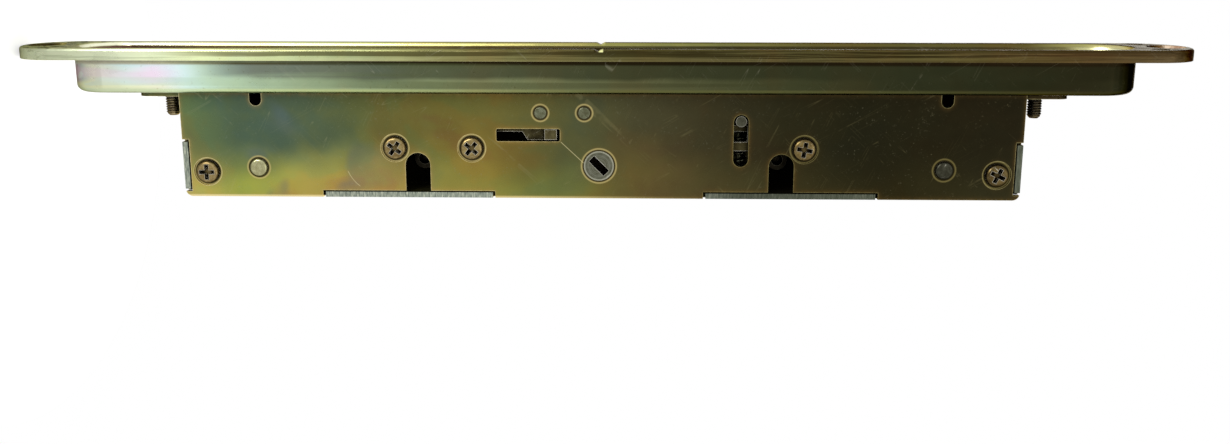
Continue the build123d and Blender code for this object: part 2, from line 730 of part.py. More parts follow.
def upper_bar():
    """Bar of the upper hook: worked from the hub's back side, it climbs over the handle screw's way."""
    pin_z = hub_pin_places()[1][0]
    tip = hub_y + hub_neck_diameter / 2 + fork_gap
    prongs, back = fork(pin_z, hub_y + hub_arm, tip)
    run_top = case_front + window_run_drop
    run_low = run_top + window_run_width
    rise_z = button_z + guide_slot_width / 2 + riser_gap
    low_run_end = pin_z + low_run_length
    low_run_top = back - low_run_width
    ramp_end = button_z - ramp_inset
    ramp = Polyline(
        (low_run_end - low_run_width - joint_overlap, back),
        (low_run_end, back),
        (ramp_end, run_low),
        (rise_z, run_low),
        (rise_z, run_top),
        (ramp_end - window_run_width / 2, run_top),
        (low_run_end - low_run_width, low_run_top),
        (low_run_end - low_run_width - joint_overlap, low_run_top),
        close=True,
    )
    bar = prongs + make_face(ramp)
    bar += box_zy(pin_z + fork_half_width - joint_overlap, low_run_end - low_run_width, low_run_top, back)
    bar += box_zy(rise_z - joint_overlap, rise_z + riser_width, bar_top, run_low)
    bar += bar_end(rise_z)
    return side(bar, bar_low_x, bar_high_x)


def lower_bar():
    """Bar of the lower hook: worked from the hub's face side, with a tab in the cover's window."""
    pin_z = hub_pin_places()[0][0]
    tip = hub_y - hub_neck_diameter / 2 - fork_gap
    prongs, back = fork(pin_z, hub_y - hub_arm, tip)
    low_edge = case_front + bar_tab_drop + bar_tab_height / 2 + bar_tab_recess
    edge_z = bar_tab_z - tab_shoulder
    wide = Polyline(
        (pin_z - fork_half_width + joint_overlap, bar_top),
        (edge_z - shoulder_slope, bar_top),
        (edge_z - shoulder_slope, bar_top + bar_width),
        (edge_z, low_edge),
        (pin_z - fork_half_width + joint_overlap, low_edge),
        close=True,
    )
    bridge = box_zy(pin_z - fork_half_width, pin_z + fork_half_width, bar_top, back + joint_overlap)
    outer = mirror(bar_end(-edge_z), about=Plane.YZ)
    bar = side(prongs + make_face(wide) + bridge + outer, bar_low_x, bar_high_x)
    tab = Pos(bar_tab_z, case_front + bar_tab_drop) * Rectangle(bar_tab_length, bar_tab_height)
    return bar + side(tab, bar_low_x, wall_x - bar_tab_recess)


# ---- hooks -----------------------------------------------------------------------------------

def from_pivot(radius, angle):
    """(z, y) of a point seen from the upper pivot; angle runs from the hub's side to the face."""
    return (pivot_z - radius * cos(radians(angle)), pivot_y - radius * sin(radians(angle)))


def hook_outline():
    """Upper hook, withdrawn: nose, curved back, boss, heel and the open mouth between heel and nose."""
    nose_out = sqrt(hook_reach**2 - nose_rise**2)
    nose_angle = degrees(atan2(nose_rise, nose_out))
    nose_y = pivot_y - nose_rise
    mouth_y = pivot_y - mouth_rise
    corner = (pivot_z - nose_out, nose_y)
    tip = (corner[0] + nose_length, nose_y)
    blunt = (tip[0] + tip_overhang, nose_y + tip_height)
    undercut = (tip[0] - mouth_undercut, mouth_y - undercut_height)
    toe = (undercut[0] + mouth_toe, mouth_y + mouth_fall)
    arm_back = from_pivot(hook_reach, back_angle)
    elbow = (pivot_z - hook_reach + elbow_inset, pivot_y - elbow_rise)
    boss_start = from_pivot(hook_boss_radius, boss_start_angle)
    boss_end = from_pivot(hook_boss_radius, boss_end_angle)
    heel_end = from_pivot(heel_radius, heel_end_angle)
    heel_start = from_pivot(heel_radius, heel_start_angle)
    heel_foot = (heel_start[0] - heel_lean, mouth_y)
    hook = make_face(Curve() + [
        ThreePointArc(corner, from_pivot(hook_reach, (nose_angle + back_angle) / 2), arm_back),
        Polyline(arm_back, elbow, boss_start),
        ThreePointArc(boss_start, from_pivot(hook_boss_radius, boss_middle_angle), boss_end),
        Line(boss_end, heel_end),
        ThreePointArc(heel_end, from_pivot(heel_radius, (heel_start_angle + heel_end_angle) / 2), heel_start),
        Polyline(heel_start, heel_foot, toe, undercut, blunt, tip, corner),
    ])
    rounds = {
        mouth_round: (toe,),
        undercut_round: (undercut, heel_foot),
        hook_corner: (corner, tip, blunt, heel_start, heel_end),
        hook_soft_corner: (arm_back, boss_start, boss_end),
        elbow_round: (elbow,),
    }
    for radius, points in rounds.items():
        for point in points:
            vertex = hook.vertices().sort_by_distance((*point, 0))[0]
            hook = fillet(vertex, radius)
    return hook


def rivet_places():
    """(z, y) of the rivets through an upper hook: nose, arm and heel."""
    return [
        from_pivot(hook_reach - nose_rivet_inset, nose_rivet_angle),
        from_pivot(arm_rivet_arm, arm_rivet_angle),
        from_pivot(heel_radius - heel_rivet_inset, heel_rivet_angle),
    ]


def upper_hook_plates():
    """Laminations of the upper hook, each a blanked plate with broken edges."""
    outline = hook_outline()
    outline -= Pos(pivot_z, pivot_y) * Circle(pivot_pin_diameter / 2 + running_gap)
    outline -= Pos(drive_pin_z, drive_pin_y) * Circle(drive_pin_radius + fixed_gap)
    for place in rivet_places():
        outline -= Pos(*place) * Circle(rivet_radius + fixed_gap)
    plates = []
    for number in range(hook_plates):
        low = -hook_half + number * hook_plate_thickness
        plate = side(outline, low, low + hook_plate_thickness)
        for face_edges in (plate.faces().sort_by(Axis.X)[0], plate.faces().sort_by(Axis.X)[-1]):
            plate = chamfer(face_edges.outer_wire().edges(), hook_edge)
        plates.append(plate)
    return Compound(children=plates)


def upper_hook_rivets():
    """Rivets that hold the laminations together, flush on both sides."""
    rivets = Part()
    for z, y in rivet_places():
        rivets += cross_rod(z, y, rivet_radius, -hook_half, hook_half)
    return rivets


def upper_drive_pin():
    """Pin pressed into the hook, standing out into the bar's upright slot."""
    return cross_rod(drive_pin_z, drive_pin_y, drive_pin_radius, -hook_half, bar_high_x + pin_overrun)


def upper_pivot_pin():
    """Pivot pin through both walls, with a domed head on each."""
    pin = cross_rod(pivot_z, pivot_y, pivot_pin_diameter / 2, -wall_x, wall_x)
    head = cross_rod(pivot_z, pivot_y, pivot_head_diameter / 2, wall_x, wall_x + pivot_head_height)
    head = fillet(head.edges().group_by(Axis.X)[-1], pivot_head_round)
    return pin + head + mirror(head, about=Plane.YZ)


def pivot_washers():
    """Spacers on the pivot pins that keep each hook midway between the walls."""
    washer = Circle(washer_radius) - Circle(pivot_pin_diameter / 2 + fixed_gap)
    washer = Pos(pivot_z, pivot_y) * washer
    near = side(washer, hook_half + washer_play, inner_x - washer_play)
    far = side(washer, -inner_x, -hook_half - washer_play)
    pair = Part() + near + far
    return pair + lower_half(pair)


# ---- anti-slam plunger -----------------------------------------------------------------------

def plunger():
    """Button, body and stem of the anti-slam plunger."""
    top = plate_top - button_proud
    body_end = case_front + plunger_body_drop
    body = deep_rod(button_z, button_x, button_diameter / 2, top, body_end)
    body = fillet(body.edges().group_by(Axis.Y)[0], button_round)
    stem_end = case_front + bracket_drop + bracket_thickness + stem_overrun
    body += deep_rod(button_z, button_x, stem_diameter / 2, body_end, stem_end)
    return body - cross_rod(button_z, guide_pin_y, guide_pin_diameter / 2 + fixed_gap, -wall_x, wall_x)


def plunger_pin():
    """Cross pin that runs in the cover's upright slot."""
    far_x = button_x - button_diameter / 2 + guide_pin_seat
    return cross_rod(button_z, guide_pin_y, guide_pin_diameter / 2, far_x, wall_x - guide_pin_recess)


def plunger_bracket():
    """Angle bracket on the far wall that guides the stem and carries the spring."""
    top = case_front + bracket_drop
    bottom = top + bracket_thickness
    low_z = button_z - bracket_width / 2
    high_z = button_z + bracket_width / 2
    bracket = side(box_zy(low_z, high_z, top, bottom), -inner_x, spring_high_x + bracket_overhang)
    foot = box_zy(low_z, high_z, top - bracket_foot_height, bottom)
    bracket += side(foot, -inner_x, -inner_x + bracket_foot_thickness)
    return bracket - deep_rod(button_z, button_x, stem_diameter / 2 + running_gap, top, bottom)


def plunger_spring():
    """Compression spring between the plunger's body and its bracket, in the room beside the lever."""
    radius = (spring_high_x - spring_low_x - spring_wire_diameter) / 2
    start = case_front + plunger_body_drop + spring_wire_diameter / 2 + fixed_gap
    end = case_front + bracket_drop - spring_wire_diameter / 2 - fixed_gap
    path = Helix((end - start) / spring_turns, end - start, radius)
    wire = Plane(origin=path @ 0, z_dir=path % 0) * Circle(spring_wire_diameter / 2)
    coil = sweep(wire, path=path, is_frenet=True)
    return Pos(button_x, start, button_z) * Rot(-90, 0, 0) * coil


def blocker_lever():
    """Lever on its post: the plunger's pin works the fork, the ring plays round the stop post."""
    pivot = Pos(lever_post_z, small_post_y) * Circle(lever_hub_radius)
    ring = Pos(stop_post_z, small_post_y) * Circle(lever_ring_radius)
    arm_end = Pos(button_z - lever_fork_length / 2, guide_pin_y) * Circle(lever_arm_radius)
    slot_half = guide_pin_diameter / 2 + lever_fork_gap
    prongs = RectangleRounded(lever_fork_length, 2 * (slot_half + lever_prong), lever_prong_corner)
    lever = make_hull(pivot.edges() + ring.edges()) + make_hull(pivot.edges() + arm_end.edges())
    lever += Pos(button_z, guide_pin_y) * prongs
    fork_floor = button_z - slot_half - lever_fork_floor
    fork_mouth = button_z + lever_fork_length
    lever -= box_zy(fork_floor, fork_mouth, guide_pin_y - slot_half, guide_pin_y + slot_half)
    lever -= Pos(lever_post_z, small_post_y) * Circle(small_post_diameter / 2 + running_gap)
    lever -= Pos(stop_post_z, small_post_y) * Circle(lever_ring_hole / 2)
    return side(lever, lever_low_x, lever_low_x + lever_thickness)


# ---- write every node ------------------------------------------------------------------------

os.makedirs("parts", exist_ok=True)

save(faceplate_tray(), "faceplate_tray")
save(inner_plate(), "inner_plate")
save(inner_plate_screws(), "inner_plate_screws")
save(tray_screws(), "tray_screws")
save(label(), "label")
save(case_body(), "case_body")
save(case_cover(), "case_cover")
save(cover_screws(), "cover_screws")
save(cover_posts(), "cover_posts")
save(handle_nuts(), "handle_nuts")
save(small_post(lever_post_z, lever_low_x - running_gap), "lever_post")
save(small_post(stop_post_z, -inner_x), "stop_post")
leaf, studs = detent_spring()
save(leaf, "detent_spring")
save(studs, "detent_studs")
save(pivot_washers(), "pivot_washers")
save(drive_hub(), "drive_hub")
save(hub_drive_pins(), "hub_drive_pins")
save(upper_bar(), "upper_bar")
save(lower_bar(), "lower_bar")
for name, piece in (
    ("hook_plates", upper_hook_plates()),
    ("hook_rivets", upper_hook_rivets()),
    ("drive_pin", upper_drive_pin()),
    ("pivot_pin", upper_pivot_pin()),
):
    save(piece, f"upper_{name}")
    save(lower_half(piece), f"lower_{name}")
save(plunger(), "plunger")
save(plunger_pin(), "plunger_pin")
save(plunger_bracket(), "plunger_bracket")
save(plunger_spring(), "plunger_spring")
save(blocker_lever(), "blocker_lever")
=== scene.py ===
import math

import bpy
import numpy as np
from mathutils import Euler, Matrix, Vector

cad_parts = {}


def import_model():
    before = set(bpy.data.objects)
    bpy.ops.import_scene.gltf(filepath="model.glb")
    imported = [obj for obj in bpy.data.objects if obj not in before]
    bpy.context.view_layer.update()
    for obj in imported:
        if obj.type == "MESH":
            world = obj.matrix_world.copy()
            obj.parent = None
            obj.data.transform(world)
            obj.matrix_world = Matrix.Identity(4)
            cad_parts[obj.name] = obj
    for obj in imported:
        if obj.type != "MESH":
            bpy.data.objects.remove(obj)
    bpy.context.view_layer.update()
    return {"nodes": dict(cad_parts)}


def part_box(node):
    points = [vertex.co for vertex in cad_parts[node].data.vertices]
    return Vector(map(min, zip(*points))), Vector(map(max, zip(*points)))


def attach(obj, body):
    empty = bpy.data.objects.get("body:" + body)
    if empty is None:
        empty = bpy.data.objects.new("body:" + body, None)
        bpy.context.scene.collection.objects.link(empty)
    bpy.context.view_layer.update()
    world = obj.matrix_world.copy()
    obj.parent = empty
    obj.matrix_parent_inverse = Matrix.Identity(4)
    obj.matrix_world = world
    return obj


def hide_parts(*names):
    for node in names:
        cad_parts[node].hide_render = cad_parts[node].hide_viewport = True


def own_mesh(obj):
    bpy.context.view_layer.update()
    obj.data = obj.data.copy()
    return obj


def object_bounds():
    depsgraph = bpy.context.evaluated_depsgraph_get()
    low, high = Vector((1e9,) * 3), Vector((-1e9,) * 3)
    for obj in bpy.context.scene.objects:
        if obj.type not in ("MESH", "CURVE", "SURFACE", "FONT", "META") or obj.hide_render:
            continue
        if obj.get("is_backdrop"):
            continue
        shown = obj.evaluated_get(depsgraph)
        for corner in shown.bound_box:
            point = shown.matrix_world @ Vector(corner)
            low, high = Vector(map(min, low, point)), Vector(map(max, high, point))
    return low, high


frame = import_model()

# Looks of a two-point hook mortise lock: yellow-passivated zinc faceplate and case, bright steel
# pins, laminated hooks and a paper label. Much light is painted into the colours: most of them run
# from light at the lower end of Z to dark at the upper end, a painted light falloff, and painted
# shade, shadows and highlights sit in corners, round holes and on rims. Metres, in the frame of the
# CAD model: +Z along the faceplate, -Y out of it, +X towards the case's cover plate. Places in
# materials are millimetres.

MM = 0.001
HALF_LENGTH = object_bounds()[1].z / MM

# The lock's own sizes, in millimetres.
FLOOR_Y = 7.1                    # trough's floor
FLANGE_END = 15.95               # from the face's end to the trough's mouth
TROUGH_RADIUS = 9.6              # round ends of the trough's mouth
END_SCREW_Z = 154.0              # countersunk holes in the flange's ends
SINK_RADIUS = 5.35               # reach of their countersinks' paint
FACE_MARK_X = 8.2                # ejector marks on the flange, off its middle line
FACE_MARK_INSET = 11.35          # and in from its ends
FLOOR_MARK_INSET = 11.0          # ejector marks on the floor, in from the trough's ends
COVER_SCREWS = ((31.3, -108.7), (31.3, 108.7), (24.4, -56.2), (24.4, -35.0), (24.4, 56.1))
COVER_SCREW_RADIUS = 3.1
PLATE_SEAM = 0.95                # seams between the hook's three plates, off its middle
STUB_FROM_END = 3.35             # axis of a tray screw, in from the box of both


def rgb(red, green, blue):
    """Linear colour from display values of 0 to 255."""
    def linear(value):
        share = value / 255
        return share / 12.92 if share <= 0.04045 else ((share + 0.055) / 1.055) ** 2.4
    return (linear(red), linear(green), linear(blue), 1.0)


def in_mm(corners):
    """Corners of a box in millimetres."""
    return [corner / MM for corner in corners]


# Tint of every metal at a grazing angle, which keeps its rims from going white.
GRAZING = rgb(150, 142, 116)


# ---- node helpers ----------------------------------------------------------------------------

def feed(tree, socket, value):
    """Links a socket to the value's output, or sets it to a plain value."""
    if isinstance(value, bpy.types.NodeSocket):
        tree.links.new(value, socket)
    else:
        socket.default_value = value


def add(tree, kind, settings=None, **sockets):
    """Adds a shader node. settings are its properties; sockets are its inputs' values or links,
    by name or, as i0, i1 and so on, by place."""
    made = tree.nodes.new("ShaderNode" + kind)
    for name, value in (settings or {}).items():
        setattr(made, name, value)
    for name, value in sockets.items():
        by_place = name[0] == "i" and name[1:].isdigit()
        feed(tree, made.inputs[int(name[1:]) if by_place else name.replace("_", " ")], value)
    return made


def math_node(tree, operation, first, second=0.0, third=0.0, clamp=False):
    """One Math node's result."""
    settings = {"operation": operation, "use_clamp": clamp}
    return add(tree, "Math", settings, i0=first, i1=second, i2=third).outputs[0]


def plus(tree, first, second, clamp=False):
    return math_node(tree, "ADD", first, second, clamp=clamp)


def minus(tree, first, second, clamp=False):
    return math_node(tree, "SUBTRACT", first, second, clamp=clamp)


def times(tree, first, second, clamp=False):
    return math_node(tree, "MULTIPLY", first, second, clamp=clamp)


def ramp(tree, value, stops, smooth=True):
    """Colour ramp through (place, colour) stops; a colour may be one grey number."""
    made = add(tree, "ValToRGB", Fac=value)
    band = made.color_ramp
    band.interpolation = "EASE" if smooth else "LINEAR"
    while len(band.elements) < len(stops):
        band.elements.new(0.5)
    for element, (place, colour) in zip(band.elements, stops):
        element.position = place
        element.color = colour if isinstance(colour, tuple) else (colour, colour, colour, 1)
    return made.outputs["Color"]


def blend(tree, share, first, second, mode="MIX"):
    """Mix of two colours."""
    settings = {"data_type": "RGBA", "blend_type": mode}
    return add(tree, "Mix", settings, i0=share, i6=first, i7=second).outputs[2]


def noise(tree, place, scale, detail=4.0, roughness=0.55, distortion=0.0):
    """Noise value at a place in millimetres; scale is features to the millimetre."""
    return add(tree, "TexNoise", Vector=place, Scale=scale, Detail=detail,
               Roughness=roughness, Distortion=distortion).outputs["Fac"]


def stretched(tree, place, along, across, turn=(0, 0, 0)):
    """Place squeezed so that a pattern is drawn out along Z; along and across are scales."""
    return add(tree, "Mapping", {"vector_type": "TEXTURE"}, Vector=place, Rotation=turn,
               Scale=(1 / across, 1 / across, 1 / along)).outputs[0]


def smooth_step(tree, value, low, high):
    """0 below low and 1 above high, eased between; low above high turns it round."""
    return add(tree, "MapRange", {"interpolation_type": "SMOOTHSTEP"},
               Value=value, From_Min=low, From_Max=high).outputs[0]


def effect(name, inputs, outputs):
    """Empty shader node group with named sockets; returns its tree, input node and output node."""
    kinds = {"vector": "NodeSocketVector", "value": "NodeSocketFloat", "colour": "NodeSocketColor"}
    tree = bpy.data.node_groups.new(name, "ShaderNodeTree")
    for label, kind, default in inputs:
        socket = tree.interface.new_socket(label, in_out="INPUT", socket_type=kinds[kind])
        if default is not None:
            socket.default_value = default
    for label, kind in outputs:
        tree.interface.new_socket(label, in_out="OUTPUT", socket_type=kinds[kind])
    return tree, tree.nodes.new("NodeGroupInput"), tree.nodes.new("NodeGroupOutput")


def use(tree, group, **sockets):
    """Places a node group in a material."""
    made = tree.nodes.new("ShaderNodeGroup")
    made.node_tree = group
    for name, value in sockets.items():
        feed(tree, made.inputs[name], value)
    return made.outputs


# ---- shared effects --------------------------------------------------------------------------

def passivate_group():
    """Interference tints of a yellow chromate film. Slow noise sets the film's thickness, and a
    ramp turns thickness into blue, green, gold, copper and violet, pale enough to multiply a
    colour."""
    tree, given, out = effect(
        "Passivate film",
        [("Place", "vector", None), ("Patch", "value", 0.03), ("Level", "value", 0.5),
         ("Spread", "value", 1.0)],
        [("Tint", "colour")],
    )
    place = given.outputs["Place"]
    slow = add(tree, "TexNoise", Vector=place, Scale=given.outputs["Patch"],
               Detail=3.0, Distortion=0.8).outputs["Fac"]
    swing = times(tree, minus(tree, slow, 0.5), given.outputs["Spread"])
    grain = times(tree, minus(tree, noise(tree, place, 0.3, 5.0, 0.65), 0.5), 0.22)
    thickness = plus(tree, plus(tree, swing, grain), given.outputs["Level"], clamp=True)
    tint = ramp(tree, thickness, [
        (0.0, rgb(206, 224, 240)), (0.2, rgb(214, 238, 222)), (0.4, rgb(236, 246, 204)),
        (0.56, rgb(255, 240, 186)), (0.7, rgb(255, 220, 184)), (0.84, rgb(240, 206, 218)),
        (1.0, rgb(220, 222, 236)),
    ])
    tree.links.new(tint, out.inputs["Tint"])
    return tree


def scratch_group():
    """Hair scratches: noise drawn out along three slanted directions and cut to a thin band, so
    that only narrow, broken lines stay. Turn is the axis that the directions are slanted about."""
    tree, given, out = effect(
        "Hair scratches",
        [("Place", "vector", None), ("Amount", "value", 0.5), ("Turn", "vector", (1, 0, 0))],
        [("Mask", "value")],
    )
    length_scale, sharpness = 0.015, 190.0
    total = None
    for turn, across, patch in ((0.5, 0.4, 0.13), (-0.75, 0.5, 0.17), (1.1, 0.45, 0.21)):
        angles = add(tree, "VectorMath", {"operation": "SCALE"},
                     i0=given.outputs["Turn"], Scale=turn).outputs[0]
        spot = stretched(tree, given.outputs["Place"], length_scale, across, angles)
        off_middle = math_node(tree, "ABSOLUTE", minus(tree, noise(tree, spot, 1.0, 0.0, 0.5), 0.5))
        thin = minus(tree, 1.0, times(tree, off_middle, sharpness), clamp=True)
        broken = ramp(tree, noise(tree, given.outputs["Place"], patch, 2.0),
                      [(0.54, 0.0), (0.6, 1.0)])
        part = times(tree, thin, broken)
        total = part if total is None else math_node(tree, "MAXIMUM", total, part)
    tree.links.new(times(tree, total, given.outputs["Amount"], clamp=True), out.inputs["Mask"])
    return tree


def edge_group():
    """Edges: where the normal rounded over a small radius leaves the true normal, broken up by
    noise. The paints lay wear, soiling and painted rim highlights on this mask."""
    tree, given, out = effect(
        "Edge mask",
        [("Place", "vector", None), ("Reach", "value", 0.0003), ("Gain", "value", 7.0)],
        [("Mask", "value")],
    )
    rounded = add(tree, "Bevel", {"samples": 8}, Radius=given.outputs["Reach"]).outputs[0]
    true = add(tree, "NewGeometry").outputs["True Normal"]
    match = add(tree, "VectorMath", {"operation": "DOT_PRODUCT"}, i0=rounded, i1=true)
    turned = minus(tree, 1.0, match.outputs["Value"])
    turned = times(tree, turned, given.outputs["Gain"], clamp=True)
    rough = ramp(tree, noise(tree, given.outputs["Place"], 0.9, 4.0, 0.7),
                 [(0.32, 0.45), (0.6, 1.0)])
    tree.links.new(times(tree, turned, rough, clamp=True), out.inputs["Mask"])
    return tree


def grime_group():
    """Painted shade in corners and holes: the share of near surroundings that hides the open air,
    broken up by noise."""
    tree, given, out = effect(
        "Corner grime",
        [("Place", "vector", None), ("Reach", "value", 0.003), ("Gain", "value", 1.0)],
        [("Mask", "value")],
    )
    air = add(tree, "AmbientOcclusion", {"samples": 8}, Distance=given.outputs["Reach"])
    hidden = minus(tree, 1.0, air.outputs["AO"], clamp=True)
    rough = ramp(tree, noise(tree, given.outputs["Place"], 0.5, 4.0, 0.6),
                 [(0.3, 0.75), (0.7, 1.0)])
    scaled = times(tree, hidden, given.outputs["Gain"])
    tree.links.new(times(tree, scaled, rough, clamp=True), out.inputs["Mask"])
    return tree


def speck_group():
    """Specks and nicks: the peaks of a fine noise, in loose clusters."""
    tree, given, out = effect(
        "Specks",
        [("Place", "vector", None), ("Size", "value", 1.6), ("Amount", "value", 1.0)],
        [("Mask", "value")],
    )
    fine = add(tree, "TexNoise", Vector=given.outputs["Place"], Scale=given.outputs["Size"],
               Detail=3.0, Roughness=0.7).outputs["Fac"]
    peaks = ramp(tree, fine, [(0.63, 0.0), (0.7, 1.0)])
    cluster = ramp(tree, noise(tree, given.outputs["Place"], 0.11, 2.0),
                   [(0.42, 0.15), (0.6, 1.0)])
    found = times(tree, peaks, cluster)
    tree.links.new(times(tree, found, given.outputs["Amount"], clamp=True), out.inputs["Mask"])
    return tree


def brushing_group():
    """Brushed streaks: noise drawn out along Z at two scales. Light and Dark are its pale and
    dark lines, Height its relief."""
    tree, given, out = effect(
        "Brushing",
        [("Place", "vector", None), ("Contrast", "value", 1.0)],
        [("Light", "value"), ("Dark", "value"), ("Height", "value")],
    )
    place = given.outputs["Place"]
    fine = noise(tree, stretched(tree, place, 0.03, 3.2), 1.0, 4.0, 0.7)
    broad = noise(tree, stretched(tree, place, 0.014, 0.75), 1.0, 3.0, 0.6, 0.4)
    streak = plus(tree, times(tree, fine, 0.5), times(tree, broad, 0.5))
    for name, ends in (("Light", (0.5, 0.64)), ("Dark", (0.49, 0.38))):
        line = smooth_step(tree, streak, *ends)
        tree.links.new(times(tree, line, given.outputs["Contrast"], clamp=True), out.inputs[name])
    tree.links.new(streak, out.inputs["Height"])
    return tree


PASSIVATE = passivate_group()
SCRATCHES = scratch_group()
EDGES = edge_group()
CORNER_SHADE = grime_group()
SPECKS = speck_group()
BRUSHING = brushing_group()


# ---- materials -------------------------------------------------------------------------------

class Paint:
    """One finish in the making: its tree, place in millimetres, and running colour."""

    def __init__(self, name):
        self.material = bpy.data.materials.new(name)
        self.material.use_nodes = True
        self.tree = self.material.node_tree
        self.shader = self.tree.nodes["Principled BSDF"]
        spot = add(self.tree, "TexCoord").outputs["Object"]
        to_mm = (1 / MM, 1 / MM, 1 / MM)
        self.place = add(self.tree, "Mapping", Vector=spot, Scale=to_mm).outputs[0]
        axes = add(self.tree, "SeparateXYZ", Vector=self.place).outputs
        self.x, self.y, self.z = axes["X"], axes["Y"], axes["Z"]
        self.normal = add(self.tree, "NewGeometry").outputs["True Normal"]
        self.colour = None

    # values

    def plus(self, first, second):
        return plus(self.tree, first, second)

    def minus(self, first, second):
        return minus(self.tree, first, second)

    def times(self, first, second):
        return times(self.tree, first, second)

    def larger(self, first, second):
        return math_node(self.tree, "MAXIMUM", first, second)

    def size(self, value):
        return math_node(self.tree, "ABSOLUTE", value)

    def noise(self, *values):
        """Noise at the surface's own place."""
        return noise(self.tree, self.place, *values)

    def streaks(self, along, across, *values, turn=(0, 0, 0)):
        """Noise drawn out along Z, or along Z turned by angles."""
        return noise(self.tree, stretched(self.tree, self.place, along, across, turn), 1.0, *values)

    def distance(self, x=0.0, y=0.0, z=0.0):
        """Length of a vector."""
        vector = add(self.tree, "CombineXYZ", X=x, Y=y, Z=z).outputs[0]
        return add(self.tree, "VectorMath", {"operation": "LENGTH"}, i0=vector).outputs["Value"]

    def distance_from(self, centre):
        found = add(self.tree, "VectorMath", {"operation": "DISTANCE"}, i0=self.place, i1=centre)
        return found.outputs["Value"]

    def facing(self, direction):
        """Cosine between the surface and a direction of the part, times its length."""
        found = add(self.tree, "VectorMath", {"operation": "DOT_PRODUCT"},
                    i0=self.normal, i1=direction)
        return found.outputs["Value"]

    # masks

    def step(self, value, low, high):
        return smooth_step(self.tree, value, low, high)

    def band(self, value, rise, fall):
        """1 between an eased rise and an eased fall."""
        return self.both(self.step(value, *rise), self.step(value, *fall))

    def both(self, first, *others):
        """1 where all masks are."""
        for other in others:
            first = times(self.tree, first, other, clamp=True)
        return first

    def scaled(self, value, factor):
        return times(self.tree, value, factor, clamp=True)

    def disc(self, centre, radius, soft=0.25):
        """1 inside a ball round a centre in millimetres."""
        return self.step(self.distance_from(centre), radius + soft, radius - soft)

    def ring(self, centre, inner, outer, soft):
        """1 between two balls round a centre."""
        hollow = self.step(self.disc(centre, inner, soft), 1, 0)
        return self.both(self.disc(centre, outer, soft), hollow)

    def edges(self, reach, gain):
        return use(self.tree, EDGES, Place=self.place, Reach=reach, Gain=gain)["Mask"]

    def grime(self, reach, gain):
        return use(self.tree, CORNER_SHADE, Place=self.place, Reach=reach, Gain=gain)["Mask"]

    def scratches(self, amount, facing=(1, 0, 0)):
        """Straight hair scratches on the surfaces that face a direction."""
        found = use(self.tree, SCRATCHES, Place=self.place, Amount=amount, Turn=facing)["Mask"]
        return self.both(found, self.step(self.size(self.facing(facing)), 0.6, 0.85))

    def specks(self, size, amount):
        return use(self.tree, SPECKS, Place=self.place, Size=size, Amount=amount)["Mask"]

    def brushing(self, contrast):
        return use(self.tree, BRUSHING, Place=self.place, Contrast=contrast)

    # colours

    def shades(self, value, *stops, smooth=True):
        """Colours by a value, from (value, red, green, blue)."""
        return ramp(self.tree, value, [(at, rgb(*shade)) for at, *shade in stops], smooth)

    def along(self, *stops):
        """Colours along Z, from (place in millimetres, red, green, blue)."""
        share = self.plus(self.times(self.z, 0.5 / HALF_LENGTH), 0.5)
        places = [(0.5 + place / HALF_LENGTH / 2, *shade) for place, *shade in stops]
        return self.shades(share, *places, smooth=False)

    def multiplied(self, *shade):
        """The running colour times another."""
        return blend(self.tree, 1.0, self.colour, rgb(*shade), "MULTIPLY")

    def lay(self, mask, colour, amount=1.0):
        """Lays a colour over the running one. It is (red, green, blue), a list of stops along Z,
        or a node's output."""
        if isinstance(colour, list):
            colour = self.along(*colour)
        elif isinstance(colour, tuple):
            colour = rgb(*colour)
        share = self.scaled(mask, amount) if amount != 1.0 else mask
        self.colour = blend(self.tree, share, self.colour, colour)

    def tint(self, colour, amount=1.0):
        """Multiplies the running colour."""
        self.colour = blend(self.tree, amount, self.colour, colour, "MULTIPLY")

    def film(self, patch, level, spread, amount=1.0):
        """Tints the running colour with the passivate's colours."""
        found = use(self.tree, PASSIVATE, Place=self.place, Patch=patch, Level=level, Spread=spread)
        self.tint(found["Tint"], amount)

    def finish(self, rough, relief, bump=0.25, depth=0.00004, metallic=1.0, worn_and_lit=None, dull=None):
        """Joins colour, cloudy roughness and relief to the shader; rubbed and highlit edges are
        glossier, and dull parts lose their gloss."""
        tree = self.tree
        gloss = ramp(tree, self.noise(0.14, 4.0, 0.6), [(0.3, rough * 0.78), (0.7, rough * 1.25)])
        if worn_and_lit is not None:
            gloss = minus(tree, gloss, self.times(worn_and_lit, 0.1), clamp=True)
        if dull is not None:
            gloss = self.larger(gloss, dull)
        tree.links.new(self.colour, self.shader.inputs["Base Color"])
        tree.links.new(gloss, self.shader.inputs["Roughness"])
        self.shader.inputs["Metallic"].default_value = metallic
        if metallic:
            self.shader.inputs["Specular Tint"].default_value = GRAZING
        found = add(tree, "Bump", Strength=bump, Distance=depth, Height=relief).outputs[0]
        tree.links.new(found, self.shader.inputs["Normal"])
        return self.material


